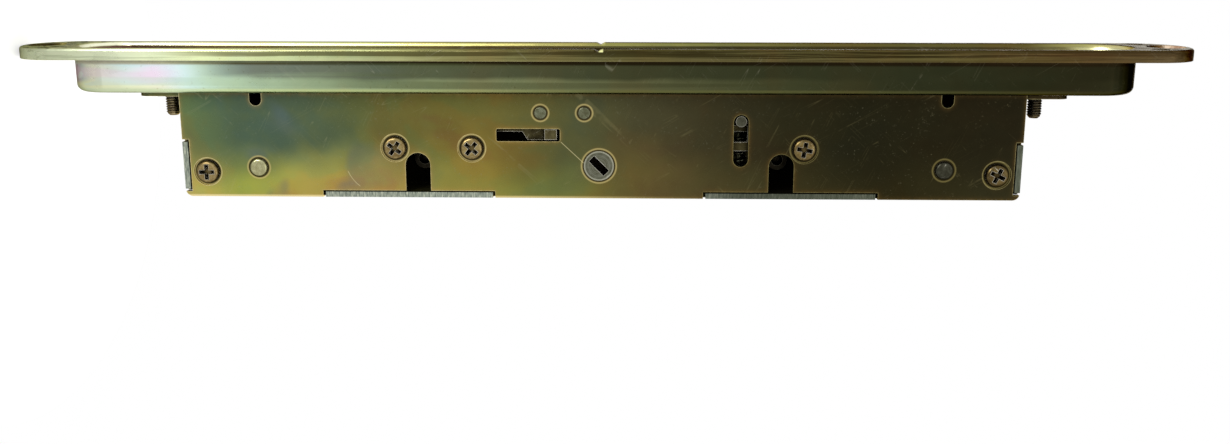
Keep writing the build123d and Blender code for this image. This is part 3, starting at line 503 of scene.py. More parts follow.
def flange_coat(made, low, high, brush, outward):
    """Flange: brushed face with swirled tips, streaked side, groove at mid length and ejector
    marks, painted light at the lower end and dark at the upper end. Returns the mask of its side."""
    # painted light falloff along Z: light at the lower end, dark at the upper end
    made.colour = made.along(
        (-160, 214, 224, 152), (-124, 242, 244, 184), (-93, 222, 222, 148), (-62, 180, 178, 116),
        (-31, 132, 128, 80), (0, 88, 80, 46), (31, 86, 76, 46), (62, 86, 74, 46),
        (93, 72, 60, 36), (124, 76, 63, 39), (160, 66, 56, 37))
    swirl = made.streaks(0.1, 0.42, 6.0, 0.68, 1.2, turn=(0, 0.95, 0))
    tips = made.step(made.size(made.z), 137, 147)
    light = blend(made.tree, tips, brush["Light"], made.step(swirl, 0.5, 0.62))
    dark = blend(made.tree, tips, brush["Dark"], made.step(swirl, 0.48, 0.37))
    made.lay(light, [
        (-160, 255, 255, 210), (-20, 210, 206, 146), (40, 110, 102, 58), (160, 104, 92, 58)], 0.75)
    cold = made.both(tips, made.step(made.noise(0.1, 3.0, 0.6, 1.5), 0.47, 0.6))
    made.lay(cold, [
        (-160, 160, 178, 128), (-136, 158, 172, 128), (136, 64, 60, 40), (160, 56, 50, 34)], 0.4)
    made.lay(dark, [
        (-160, 104, 108, 78), (-20, 70, 68, 38), (60, 44, 36, 18), (160, 48, 38, 22)], 0.85)
    # side
    side = made.both(outward, made.band(made.y, (-3.15, -2.95), (0.25, 0.1)))
    made.lay(side, [
        (-155, 230, 238, 200), (-127, 240, 250, 214), (-99, 232, 240, 196), (-70, 182, 186, 144),
        (-42, 136, 130, 92), (-14, 116, 110, 76), (14, 98, 88, 58), (42, 90, 82, 56),
        (70, 80, 72, 46), (99, 72, 64, 38), (127, 62, 52, 32), (155, 84, 66, 46)], 0.95)
    wave = made.plus(made.y, made.times(made.streaks(0.012, 0.8, 3.0, 0.6), 3.0))
    shade = made.both(side, made.step(wave, 0.4, 0.0), made.step(wave, -1.7, -1.2),
                      made.step(made.z, -124, -96))
    made.lay(shade, [
        (-128, 150, 146, 110), (-70, 92, 84, 52), (0, 44, 36, 16), (90, 30, 22, 8),
        (155, 66, 50, 32)], 0.85)
    made.lay(made.both(side, brush["Dark"]), [
        (-155, 150, 156, 108), (-20, 84, 78, 46), (60, 40, 34, 18), (155, 40, 30, 18)], 0.55)
    made.lay(made.both(side, brush["Light"]), [
        (-155, 255, 255, 222), (-20, 160, 154, 108), (60, 110, 102, 66), (155, 110, 88, 60)], 0.4)
    # the groove's flanks: painted shade on one and a painted highlight on the other
    rim = made.step(made.y, -2.3, -2.7)
    shaded_flank = made.step(made.size(made.plus(made.z, 0.65)), 0.6, 0.3)
    lit_flank = made.step(made.size(made.minus(made.z, 0.75)), 0.75, 0.4)
    made.lay(made.both(rim, shaded_flank), (44, 36, 16), 0.9)
    made.lay(made.both(rim, lit_flank), (250, 242, 180), 0.9)
    # ejector marks
    for end in (-1, 1):
        for mark_x in (-FACE_MARK_X, FACE_MARK_X):
            centre = (mark_x, low.y, end * (high.z - FACE_MARK_INSET))
            inside = made.both(made.disc(centre, 2.45), made.scaled(made.disc(centre, 2.05), 0.85))
            lower_mark = (150, 178, 140) if mark_x < 0 else (108, 112, 90)
            made.lay(inside, lower_mark if end < 0 else (70, 64, 38), 0.85)
            rim_colour = (196, 200, 140) if end < 0 else (112, 100, 58)
            made.lay(made.ring(centre, 2.35, 2.6, 0.1), rim_colour, 0.6)
    return side


def outer_wall_coat(made, outward):
    """Trough's outer walls: near white at the lower end as a painted highlight, with rose, cream
    and cold glows of the film on it, through grey-green to near black as a painted light falloff,
    with a dark seam under the flange as a painted shadow and a painted highlight on the bright
    rounded foot."""
    outer = made.larger(made.both(outward, made.step(made.y, 0.0, 0.25)),
                        made.step(made.y, 7.6, 8.2))
    made.lay(outer, [
        (-146, 238, 150, 196), (-143, 214, 190, 206), (-140.5, 200, 208, 204),
        (-137, 255, 255, 226), (-128, 238, 255, 250), (-120, 248, 234, 255),
        (-112, 222, 246, 252), (-106, 208, 230, 216), (-98, 184, 204, 186), (-80, 160, 176, 152),
        (-50, 134, 142, 114), (-20, 114, 118, 90), (10, 90, 90, 66), (45, 60, 61, 42),
        (80, 38, 39, 26), (115, 29, 30, 19), (140, 33, 33, 22)])
    level = made.plus(made.y, made.times(made.noise(0.05, 2.0), 3.0))
    # the lower end's painted highlight, with rose, cream and cold tints laid on it
    glow = made.both(outer, made.step(made.z, -106, -124))
    rose = made.both(glow, made.band(level, (3.6, 4.6), (7.2, 6.0)))
    made.lay(rose, (255, 220, 244), 0.35)
    made.lay(made.both(glow, made.step(level, 7.0, 8.4)), (250, 255, 206), 0.8)
    made.lay(made.both(glow, made.step(level, 3.4, 2.4)), (214, 250, 250), 0.5)
    upper_shade = made.both(outer, made.step(level, 7.2, 5.6), made.step(made.z, -114, -92))
    made.lay(upper_shade, [
        (-100, 104, 104, 108), (-50, 70, 74, 60), (0, 52, 54, 38), (144, 24, 24, 15)], 0.8)
    # dark seam under the flange: a painted shadow
    made.lay(made.both(outer, made.step(made.y, 1.5, 0.8)), [
        (-144, 222, 214, 190), (-116, 190, 186, 150), (-98, 84, 76, 42), (-60, 34, 27, 9),
        (60, 20, 16, 7), (144, 14, 11, 5)], 0.92)
    streak = made.step(made.streaks(0.006, 0.42, 2.0, 0.4), 0.5, 0.62)
    made.lay(made.both(outer, streak), [
        (-144, 240, 255, 244), (-110, 190, 210, 190), (-60, 88, 96, 66), (0, 66, 66, 44),
        (144, 26, 26, 14)], 0.5)
    # bright rounded foot: a painted highlight
    foot = made.both(outer, made.band(made.y, (7.4, 8.1), (9.0, 8.7)))
    made.lay(foot, [
        (-144, 240, 255, 214), (-70, 190, 200, 150), (0, 104, 104, 66), (144, 52, 50, 32)], 0.85)


def inner_wall_coat(made, lean, inward):
    """Trough's inner walls: dark brown, painted pale as light on the side that looks away from the
    cover and at the upper end, with long ripples and a bright lip of painted highlight."""
    inner = made.both(inward, made.step(made.y, -2.6, -1.9))
    # near white at the upper end: a painted highlight
    made.lay(inner, [
        (-144, 92, 56, 52), (-132, 86, 56, 48), (-118, 88, 64, 48), (-60, 84, 70, 46),
        (0, 66, 56, 38), (70, 56, 48, 32), (114, 70, 62, 42), (130, 120, 112, 80),
        (136, 214, 206, 164), (146, 248, 238, 202)])
    # the side that looks away from the cover painted pale: painted light
    lit_side = made.both(inner, made.step(made.facing((-1, 0, 0)), 0.6, 0.85),
                          made.step(made.y, 5.2, 3.6))
    made.lay(lit_side, [
        (-134, 232, 222, 190), (-60, 206, 200, 156), (-10, 136, 128, 92), (50, 84, 74, 48),
        (134, 160, 152, 110)], 0.8)
    # bright lip: a painted highlight
    lip = made.both(made.band(made.y, (-3.15, -2.95), (-2.1, -2.5)), made.step(lean, 0.0, -0.6))
    made.lay(lip, [
        (-144, 255, 255, 232), (-50, 232, 234, 170), (0, 158, 154, 96), (60, 104, 96, 56),
        (120, 98, 90, 52), (136, 190, 180, 120), (148, 244, 226, 180)], 0.85)
    ripple = made.step(made.streaks(0.01, 1.4, 3.0), 0.5, 0.6)
    made.lay(made.both(inner, ripple, made.step(made.z, 134, 128)), [
        (-144, 74, 44, 40), (-60, 180, 174, 130), (40, 92, 84, 54), (120, 96, 88, 58),
        (136, 190, 184, 140)], 0.5)


# Painted light and shade round a countersink's cone, by how far it faces +X and down, for each
# end of Z.
CONE_LIGHT_AND_SHADE = {
    -1: ((0.15, 58, 50, 22), (0.4, 100, 88, 44), (0.56, 206, 192, 120), (0.75, 120, 100, 50)),
    1: ((0.15, 60, 42, 24), (0.4, 116, 84, 54), (0.56, 244, 214, 200), (0.75, 150, 98, 74)),
}


def floor_coat(made, up, low, high):
    """Trough's floor: warm grey and olive ends with a rainbow at the lower one, a painted shadow in
    the lower end's corner and round the inner plate, painted reflection where it shows in the
    plate's round ends, ejector marks, and the bright cones of the end screws' countersinks in
    painted light and shade."""
    floor_mask = made.both(made.step(up, 0.3, 0.9), made.band(made.y, (4.0, 6.0), (8.0, 7.6)))
    # darkest in the lower end's corner: a painted shadow
    made.lay(floor_mask, [
        (-142, 66, 38, 36), (-136, 66, 40, 36), (-131.5, 112, 86, 76), (-128, 178, 166, 144),
        (-122, 204, 198, 172), (-112, 180, 170, 136), (-106, 84, 74, 58), (0, 60, 54, 44),
        (100, 58, 52, 40), (108, 96, 88, 58), (116, 128, 122, 82), (124, 146, 140, 96),
        (130, 112, 106, 68), (135, 176, 168, 122), (141, 238, 228, 190)])
    blotch = made.both(floor_mask, made.band(made.z, (116, 123), (137, 133)),
                       made.step(made.noise(0.12, 1.0, 0.5, 0.6), 0.34, 0.72))
    made.lay(blotch, (70, 70, 44), 0.7)
    # painted shadow round and under the inner plate, by the distance from its middle line
    plate = in_mm(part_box("inner_plate"))[1]
    past_arc = made.larger(made.minus(made.size(made.z), plate.z - plate.x), 0.0)
    reach = made.distance(x=made.x, z=past_arc)
    shadow = made.step(reach, plate.x + 0.75, plate.x + 0.25)
    made.lay(made.both(floor_mask, shadow), (18, 13, 8), 0.92)
    # dark to light to dark across the floor seen in the plate's round ends: a painted reflection
    in_keyhole = made.both(floor_mask, made.step(reach, plate.x - 1.2, plate.x - 1.6))
    made.lay(in_keyhole, made.shades(
        made.step(made.size(made.z), 104, 96),
        (0.0, 64, 56, 44), (0.5, 104, 98, 86), (0.9, 40, 35, 28)), 0.8)
    # rainbow and pale edge at the lower end
    rainbow = made.shades(
        made.streaks(0.045, 0.16, 2.0, turn=(0, 0.25, 0)), (0.36, 140, 190, 200),
        (0.45, 170, 172, 220), (0.53, 226, 168, 192), (0.6, 232, 212, 150), (0.7, 206, 214, 180))
    lit = made.both(floor_mask, made.band(made.z, (-136, -130), (-108, -121)))
    made.lay(made.both(lit, made.step(made.x, -1.5, 3.5)), rainbow, 0.75)
    made.lay(made.both(lit, made.step(made.x, 5.6, 6.6)), (238, 222, 176), 0.7)
    # ejector marks and countersinks
    for end in (-1, 1):
        mark = (0, FLOOR_Y, end * (high.z - FLANGE_END - FLOOR_MARK_INSET))
        mark_colour = (176, 192, 170) if end < 0 else (150, 146, 92)
        made.lay(made.both(floor_mask, made.disc(mark, 2.35)), mark_colour, 0.7)
        made.lay(made.both(floor_mask, made.ring(mark, 2.3, 2.6, 0.15)), (116, 108, 78), 0.7)
        # countersinks' cones, lit and shaded by facing: painted light and shade
        cone = made.both(made.disc((0, low.y, end * END_SCREW_Z), SINK_RADIUS),
                         made.step(up, 0.93, 0.88))
        made.lay(cone, made.shades(made.facing((0.45, 0, -0.85)), *CONE_LIGHT_AND_SHADE[end]))


def tray_paint():
    """Die-cast faceplate: brushed yellow-green flange with swirled ends, dark inner walls, a warm
    grey floor with rainbow streaks near the lower end, and pale to dark outer walls, with painted
    light falling off along Z, painted shade in corners and painted highlights on rims."""
    made = Paint("faceplate passivate")
    tree = made.tree
    low, high = in_mm(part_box("faceplate_tray"))
    # how far the surface looks away from the faceplate's middle line
    arc_z = high.z - FLANGE_END - TROUGH_RADIUS
    past_arc = made.larger(made.minus(made.size(made.z), arc_z), 0.0)
    past_arc = made.times(past_arc, math_node(tree, "SIGN", made.z))
    away = add(tree, "CombineXYZ", X=made.x, Y=0.0, Z=past_arc).outputs[0]
    lean = made.facing(away)
    outward = made.step(lean, 0.5, 1.5)
    inward = made.step(lean, -0.8, -2.5)
    up = made.facing((0, -1, 0))
    brush = made.brushing(1.0)

    side = flange_coat(made, low, high, brush, outward)
    outer_wall_coat(made, outward)
    inner_wall_coat(made, lean, inward)
    floor_coat(made, up, low, high)

    # film, painted shade in corners, wear, and painted rim highlights
    made.film(0.03, 0.45, 1.1, made.scaled(made.step(made.z, -132, -96), 0.5))
    made.lay(made.edges(0.0012, 2.0), made.multiplied(255, 232, 190), 0.3)
    # darkened corners and hollows: painted shade
    corner_dark = made.grime(0.0016, 1.5)
    made.lay(corner_dark, (40, 28, 16), 0.85)
    hair = made.scratches(0.35)
    made.lay(hair, [(-160, 240, 238, 214), (160, 130, 122, 90)], 0.4)
    made.lay(made.specks(1.1, 1.0), made.multiplied(190, 176, 140), 0.6)
    # bright rims of wear and painted highlight, kept out of the painted shade and off the upper
    # half of the side
    upper_side = made.scaled(made.both(side, made.step(made.z, -40, 20)), 0.75)
    in_shade = made.larger(made.scaled(corner_dark, 3.0), upper_side)
    worn_and_lit = made.both(made.edges(0.0003, 6.0), made.minus(1.0, in_shade))
    made.lay(worn_and_lit, [
        (-160, 252, 252, 220), (-40, 214, 208, 150), (40, 122, 112, 66), (160, 140, 118, 84)], 0.8)
    relief = made.plus(made.times(brush["Height"], 0.8), made.times(hair, -0.8))
    return made.finish(0.3, relief, worn_and_lit=worn_and_lit)


def case_paint(name):
    """Sheet steel of the case: grey-green at the lower end, through olive gold to dark olive
    brown as a painted light falloff, golden along the back edge and round every hole, and black
    inside as painted shade. Returns the paint and its masks: sheared ends, relief, rubbed and
    highlit edges, and the painted shade inside."""
    made = Paint(name)
    low, high = in_mm(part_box("case_cover"))
    # painted light falloff: light at the lower end, dark at the upper end
    middle = made.along(
        (-115, 108, 124, 94), (-100, 86, 100, 88), (-85, 90, 100, 84), (-66, 98, 100, 70),
        (-45, 106, 104, 64), (-28, 112, 102, 62), (-8, 88, 86, 60), (10, 72, 68, 48),
        (30, 56, 51, 34), (50, 40, 37, 23), (70, 30, 28, 17), (95, 28, 25, 15),
        (115, 27, 24, 15))
    back = made.along(
        (-115, 196, 180, 116), (-100, 166, 166, 86), (-80, 166, 158, 98), (-40, 152, 138, 78),
        (-15, 126, 126, 70), (5, 98, 88, 52), (30, 70, 65, 40), (55, 50, 45, 26),
        (80, 36, 32, 17), (115, 39, 36, 22))
    wavy = made.plus(made.y, made.times(made.minus(made.noise(0.035, 2.0), 0.5), 26.0))
    made.colour = blend(made.tree, made.step(wavy, high.y - 17, high.y - 1), middle, back)
    # the film fades towards the upper half
    calm = made.step(made.z, -24, 24)
    plain = made.colour
    made.film(0.035, 0.42, 1.5, 0.85)
    made.colour = blend(made.tree, made.scaled(calm, 0.65), made.colour, plain)
    cool = made.both(made.step(made.noise(0.045, 2.0, 0.5, 0.6), 0.52, 0.66),
                     made.step(made.z, -40, -90))
    made.lay(cool, (84, 100, 100), 0.6)
    # golden and coppery halos along edges, partly a painted highlight; painted shade in corners
    made.lay(made.edges(0.0026, 2.2), [
        (-115, 190, 166, 104), (-30, 176, 148, 84), (10, 128, 104, 56), (60, 92, 74, 36),
        (115, 84, 68, 36)], 0.6)
    made.lay(made.edges(0.0040, 1.6), made.multiplied(255, 214, 196), 0.5)
    made.lay(made.grime(0.006, 1.4), (22, 18, 9), 0.9)
    # black inside the case: painted shade
    inside = made.both(
        made.band(made.x, (0.1 - high.x, 0.3 - high.x), (high.x - 1.55, high.x - 1.7)),
        made.band(made.y, (low.y + 1.5, low.y + 1.7), (high.y - 0.1, high.y - 0.3)),
        made.step(made.size(made.z), high.z - 0.1, high.z - 0.3))
    made.lay(inside, (15, 12, 7), 0.95)
    # wear
    hair = made.scratches(0.4)
    made.lay(hair, [(-115, 190, 190, 150), (0, 140, 132, 90), (115, 96, 88, 58)], 0.4)
    made.lay(made.specks(1.5, 1.0), [(-115, 150, 156, 136), (115, 92, 84, 58)], 0.3)
    cut = made.both(made.step(made.facing((1, 0, 0)), 0.8, 0.95),
                    made.step(made.x, high.x - 0.12, high.x - 0.04))
    # bright rims of wear and painted highlight
    worn_and_lit = made.edges(0.00032, 7.0)
    made.lay(worn_and_lit, [
        (-115, 250, 238, 186), (-20, 222, 208, 146), (30, 150, 142, 92), (70, 112, 106, 68),
        (115, 136, 128, 88)], 0.85)
    relief = made.plus(made.times(made.noise(1.4, 5.0, 0.6), 0.6), made.times(hair, -0.8))
    brim = made.both(made.step(made.y, high.y - 0.75, high.y - 0.3), made.step(made.z, 40, -20),
                     made.step(made.x, high.x - 1.6, high.x - 0.9))
    made.lay(brim, [
        (-115, 244, 226, 168), (-20, 214, 196, 132), (40, 112, 100, 60)], 0.75)
    return made, cut, relief, worn_and_lit, inside


# Two scratches in the cover: ends as (z, y), half width, and sideways bow to the square of length.
COVER_SCRATCHES = (
    ((-10.4, 22.6), (-4.2, 28.4), 0.13, 0.0),
    ((-69.5, 31.0), (-66.3, 35.2), 0.12, 0.05),
)
# Pieces that stand in the cover's holes, and the radii of what shows of them.
COVER_ROUNDS = (
    ("upper_pivot_pin", 2.45), ("lower_pivot_pin", 2.45), ("lever_post", 1.65),
    ("stop_post", 1.65), ("drive_hub", 4.1),
)


def cover_paint():
    """Cover plate, with a painted shadow ring and a painted highlight ring round each screw, pin
    and post, one long scratch from the window to the hub and a short curved one."""
    made, _, relief, worn_and_lit, inside = case_paint("cover passivate")
    places = [(y, z, COVER_SCREW_RADIUS) for y, z in COVER_SCREWS]
    for node, radius in COVER_ROUNDS:
        low, high = in_mm(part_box(node))
        places.append(((low.y + high.y) / 2, (low.z + high.z) / 2, radius))
    for y, z, radius in places:
        away = made.distance(y=made.minus(made.y, y), z=made.minus(made.z, z))
        bright = (206, 188, 124) if z < 20 else (112, 102, 60)
        # a painted highlight ring, then a painted shadow ring next to the piece
        made.lay(made.step(away, radius + 1.05, radius + 0.7), bright, 0.5)
        made.lay(made.step(away, radius + 0.6, radius + 0.3), (16, 12, 5), 0.9)
    for (z1, y1), (z2, y2), width, bend in COVER_SCRATCHES:
        run = math.hypot(z2 - z1, y2 - y1)
        along_z, along_y = (z2 - z1) / run, (y2 - y1) / run
        dz, dy = made.minus(made.z, z1), made.minus(made.y, y1)
        forward = made.plus(made.times(dz, along_z), made.times(dy, along_y))
        aside = made.minus(made.times(dz, along_y), made.times(dy, along_z))
        bow = made.times(made.times(forward, made.minus(run, forward)), bend)
        line = made.both(made.step(made.size(made.plus(aside, bow)), width, width * 0.3),
                         made.band(forward, (-0.3, 0.3), (run + 0.3, run - 0.3)))
        made.lay(line, (214, 202, 152), 0.6)
    return made.finish(0.3, relief, worn_and_lit=worn_and_lit, dull=inside)


def body_paint():
    """Far wall and folds; the folds' sheared ends, level with the cover, are bare grey zinc with
    fine shear marks, painted darker towards the upper end as shade."""
    made, cut, relief, worn_and_lit, inside = case_paint("far wall passivate")
    shear = made.streaks(2.6, 0.4, 3.0, 0.7)
    made.lay(cut, made.shades(
        shear, (0.35, 104, 112, 102), (0.5, 142, 150, 136), (0.66, 186, 190, 170)))
    # cut ends painted darker towards the upper end: painted shade
    made.lay(made.both(cut, made.step(made.z, 10, 40)), (46, 48, 34), 0.85)
    return made.finish(0.33, relief, worn_and_lit=worn_and_lit, dull=inside)


def plate_paint():
    """Smooth inner plate: dark brown-grey, almost a mirror, lighter at the lower end as a painted
    light falloff, with many fine scratches and nicks, a bright broken edge of wear and painted
    highlight, and painted light and shade on its rims and slot walls."""
    made = Paint("inner plate passivate")
    made.colour = made.along(
        (-115, 112, 104, 78), (-100, 94, 84, 62), (-86, 84, 72, 54), (-60, 82, 68, 54),
        (-20, 62, 52, 44), (20, 54, 48, 42), (50, 88, 82, 60), (80, 72, 64, 42),
        (115, 58, 50, 32))
    cloud = made.step(made.noise(0.05, 3.0, 0.6, 0.5), 0.45, 0.7)
    made.lay(cloud, [
        (-115, 136, 130, 104), (-60, 92, 76, 60), (0, 68, 58, 54), (60, 92, 84, 62),
        (115, 76, 66, 42)], 0.5)
    made.film(0.03, 0.6, 0.8, 0.3)
    # darkened corners: painted shade
    made.lay(made.grime(0.0035, 1.2), (22, 16, 10), 0.85)
    made.lay(made.edges(0.0015, 2.0), (120, 104, 74), 0.45)
    # painted highlight on the rim on the cover's side, painted shade on the rim on the other, and a
    # painted highlight on the walls in the slots
    rim_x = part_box("inner_plate")[1].x / MM
    rim = made.step(made.size(made.x), rim_x - 0.85, rim_x - 0.45)
    pale = made.along(
        (-115, 250, 244, 220), (-60, 222, 212, 176), (0, 176, 166, 132), (60, 132, 120, 84),
        (115, 120, 106, 70))
    made.lay(made.both(rim, made.step(made.x, 0, 1)), pale, 0.85)
    made.lay(made.both(rim, made.step(made.x, 1, 0)), (24, 18, 10), 0.7)
    lit_slot_wall = made.both(made.step(made.facing((-1, 0, 0)), 0.3, 0.8),
                          made.step(made.size(made.x), rim_x - 0.8, rim_x - 1.4))
    made.lay(lit_slot_wall, pale)
    # wear
    hair = made.scratches(0.8, (0, 1, 0))
    made.lay(hair, (226, 216, 190), 0.6)
    fine = made.specks(2.4, 0.8)
    made.lay(fine, (226, 218, 200), 0.45)
    made.lay(made.specks(1.0, 1.0), (150, 138, 118), 0.18)
    # bright broken edge: wear and painted highlight
    worn_and_lit = made.edges(0.00034, 8.0)
    made.lay(worn_and_lit, [
        (-115, 244, 236, 206), (-40, 206, 196, 158), (30, 168, 154, 112),
        (115, 122, 106, 66)], 0.95)
    relief = made.plus(made.times(hair, -1.0), made.times(fine, -0.6))
    return made.finish(0.2, relief, worn_and_lit=worn_and_lit)


def small_metal(name, light, dark, tarnish, grime=(0.0012, 2.6), edge=(236, 232, 214)):
    """Screws, pins and levers: a tarnished colour, painted darker towards the upper end as a light
    falloff, black corners of painted shade, bright rims of wear and painted highlight, and turned
    marks. Returns the paint, its relief, rubbed and highlit edges and the painted shade in hollows."""
    made = Paint(name)
    tarnished = made.scaled(made.step(made.noise(0.7, 4.0, 0.65), 0.36, 0.64), 0.8)
    made.colour = blend(made.tree, tarnished, rgb(*light), rgb(*tarnish))
    # painted light falloff: darker towards the upper end
    made.tint(made.along((-120, 255, 255, 255), (-20, 240, 240, 232), (30, 200, 196, 182),
                         (120, 108, 103, 88)), 0.9)
    # black corners: painted shade
    sunk_shade = made.grime(*grime)
    made.lay(sunk_shade, dark, 0.97)
    hair = made.scratches(0.8)
    made.lay(hair, edge, 0.4)
    made.lay(made.specks(2.6, 1.0), dark, 0.4)
    # bright rims: wear and painted highlight
    worn_and_lit = made.edges(0.0002, 8.0)
    upper_edge = rgb(*(round(part * 0.72) for part in edge))
    made.lay(worn_and_lit, blend(made.tree, made.step(made.z, 10, 50), rgb(*edge), upper_edge), 0.9)
    relief = made.plus(made.times(made.noise(4.0, 4.0, 0.6), 0.6), made.times(hair, -0.6))
    return made, relief, worn_and_lit, sunk_shade


def finish_small(made, rough, relief, worn_and_lit, dull):
    """Shallow relief of a small turned or stamped piece."""
    return made.finish(rough, relief, 0.2, 0.00002, worn_and_lit=worn_and_lit, dull=dull)


def plain_metal(name, light, dark, tarnish, rough, **settings):
    made, relief, worn_and_lit, sunk_shade = small_metal(name, light, dark, tarnish, **settings)
    return finish_small(made, rough, relief, worn_and_lit, sunk_shade)


def star_paint():
    """Star screws: a silver head with a dark ring of painted shade inside its rim's painted
    highlight.
    """
    made, relief, worn_and_lit, sunk_shade = small_metal(
        "star screw passivate", (196, 196, 160), (24, 19, 10), (144, 134, 98), (0.0016, 1.8))
    low, high = in_mm(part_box("inner_plate_screws"))
    radius = (high.x - low.x) / 2
    away = made.distance(x=made.x, z=made.minus(made.size(made.z), high.z - radius))
    from_shade_ring = made.size(made.minus(away, radius - 0.75))
    # a dark ring of painted shade, then a painted highlight on the rim
    made.lay(made.step(from_shade_ring, 0.42, 0.2), (40, 33, 18), 0.85)
    made.lay(made.step(away, radius - 0.4, radius - 0.2), (196, 190, 148), 0.7)
    return finish_small(made, 0.24, relief, worn_and_lit, sunk_shade)


def hub_paint():
    """Hub: turned grey face with a bright rim, and a tailpiece slot painted black as shade."""
    made, relief, worn_and_lit, _ = small_metal("hub steel", (112, 114, 100), (12, 11, 8), (84, 84, 68))
    low, high = in_mm(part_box("drive_hub"))
    away = made.distance(y=made.minus(made.y, (low.y + high.y) / 2), z=made.z)
    by_radius = add(made.tree, "CombineXYZ", X=away, Y=0.0, Z=0.0).outputs[0]
    turned = made.step(noise(made.tree, by_radius, 3.0, 2.0), 0.45, 0.6)
    made.lay(turned, (136, 138, 124), 0.4)
    face = made.step(made.size(made.facing((1, 0, 0))), 0.8, 0.95)
    made.lay(made.both(face, made.step(away, 3.6, 3.9)), (168, 168, 148), 0.6)
    # tailpiece slot painted black: painted shade
    bore_shade = made.both(made.step(face, 0.5, 0.2), made.step(away, 3.35, 3.1))
    made.lay(bore_shade, (4, 4, 3))
    return finish_small(made, 0.26, relief, worn_and_lit, bore_shade)


# Red bars on the label, from and to along its length, in millimetres from its middle.
LABEL_BARS = ((-9.6, -5.4), (-4.0, 0.6), (2.0, 9.8))


def paper_paint():
    """Cream paper with fibres, soiled edges, a row of plain red bars, and the ring of the screw
    below pressed through."""
    made = Paint("paper")
    low, high = in_mm(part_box("label"))
    centre = ((low.x + high.x) / 2, low.y, (low.z + high.z) / 2)
    fibre = made.streaks(0.8, 3.0, 5.0, 0.7)
    mixed = made.plus(made.times(fibre, 0.4), made.times(made.noise(0.18, 3.0), 0.6))
    made.colour = made.shades(
        mixed, (0.3, 188, 178, 132), (0.5, 207, 200, 154), (0.7, 222, 216, 176))
    # bars, in the label's own slightly turned axes
    from_centre = add(made.tree, "VectorMath", {"operation": "SUBTRACT"}, i0=made.place, i1=centre)
    local = add(made.tree, "Mapping", Vector=from_centre.outputs[0],
                Rotation=(0, math.radians(-3.5), 0)).outputs[0]
    across, _, along = add(made.tree, "SeparateXYZ", Vector=local).outputs
    ragged = made.times(made.minus(made.noise(2.2, 3.0), 0.5), 0.5)
    along = made.plus(along, ragged)
    row = made.step(made.size(made.plus(across, ragged)), 1.5, 1.2)
    for start, end in LABEL_BARS:
        half = (end - start) / 2
        bar = made.step(made.size(made.minus(along, (start + end) / 2)), half, half - 0.3)
        made.lay(made.both(row, bar), (200, 36, 12), 0.94)
    made.lay(made.edges(0.0004, 6.0), (150, 134, 92), 0.7)
    # the hidden screw's rim
    away = made.distance_from((centre[0], low.y, centre[2] - 1.6))
    ring = made.step(made.size(made.minus(away, 3.4)), 0.32, 0.08)
    made.lay(ring, (150, 140, 104), 0.55)
    relief = made.plus(made.times(fibre, 0.5), made.times(ring, -1.0))
    made.shader.inputs["Specular IOR Level"].default_value = 0.12
    return made.finish(0.62, relief, 0.3, 0.00008, metallic=0.0)


def hook_paint():
    """Blanked hook plates: near black in the slot, silver on the blunt nose as a painted highlight,
    with bright lines of painted highlight on the plates' sheared edges and black seams between
    them."""
    made, relief, worn_and_lit, _ = small_metal(
        "hook steel", (58, 54, 44), (4, 3, 2), (30, 25, 17), (0.003, 1.5), (150, 148, 130))
    sheared = made.step(made.size(made.facing((1, 0, 0))), 0.5, 0.3)
    shear = made.streaks(0.09, 2.2, 3.0, 0.6)
    made.lay(sheared, (26, 22, 15), 0.85)
    made.lay(made.both(sheared, made.step(shear, 0.5, 0.62)), (132, 126, 106), 0.75)
    from_seam = made.size(made.minus(made.size(made.x), PLATE_SEAM))
    off_middle = made.size(made.z)
    # painted highlight on the blunt nose, brightest at its end, with painted highlight lines by the
    # seams
    nose = made.both(made.band(off_middle, (61.0, 62.5), (73.0, 72.4)), sheared)
    run = made.plus(off_middle, made.times(shear, 5.0))
    made.lay(nose, made.shades(
        made.step(run, 63.0, 75.0),
        (0.0, 84, 80, 66), (0.45, 128, 126, 110), (0.75, 150, 148, 132), (0.9, 250, 250, 244)))
    made.lay(made.both(nose, made.step(from_seam, 0.5, 0.3)), (226, 226, 212), 0.7)
    seam = made.both(sheared, made.step(from_seam, 0.34, 0.18))
    made.lay(seam, (3, 3, 2), 0.95)
    return finish_small(made, 0.28, relief, worn_and_lit, seam)


FINISH = {
    "tray": tray_paint(),
    "cover": cover_paint(),
    "body": body_paint(),
    "plate": plate_paint(),
    "bar": plain_metal("bar passivate", (96, 90, 62), (10, 8, 5), (70, 62, 40), 0.34,
                       grime=(0.004, 1.5)),
    "screw": plain_metal("screw passivate", (152, 134, 90), (8, 6, 3), (104, 84, 50), 0.28,
                         grime=(0.0016, 2.2)),
    "star": star_paint(),
    # nuts painted near black: painted shade in the case's screw passages
    "nut": plain_metal("nut steel", (40, 37, 30), (4, 3, 2), (24, 21, 15), 0.4,
                       edge=(96, 92, 78)),
    "steel": plain_metal("bright steel", (118, 122, 101), (12, 10, 6), (84, 84, 62), 0.26),
    "pin": plain_metal("dull pin steel", (96, 98, 88), (8, 7, 5), (64, 64, 54), 0.32),
    "pivot": plain_metal("pivot pin steel", (176, 174, 134), (14, 12, 7), (146, 142, 102), 0.24),
    "hub": hub_paint(),
    "hook": hook_paint(),
    "paper": paper_paint(),
}

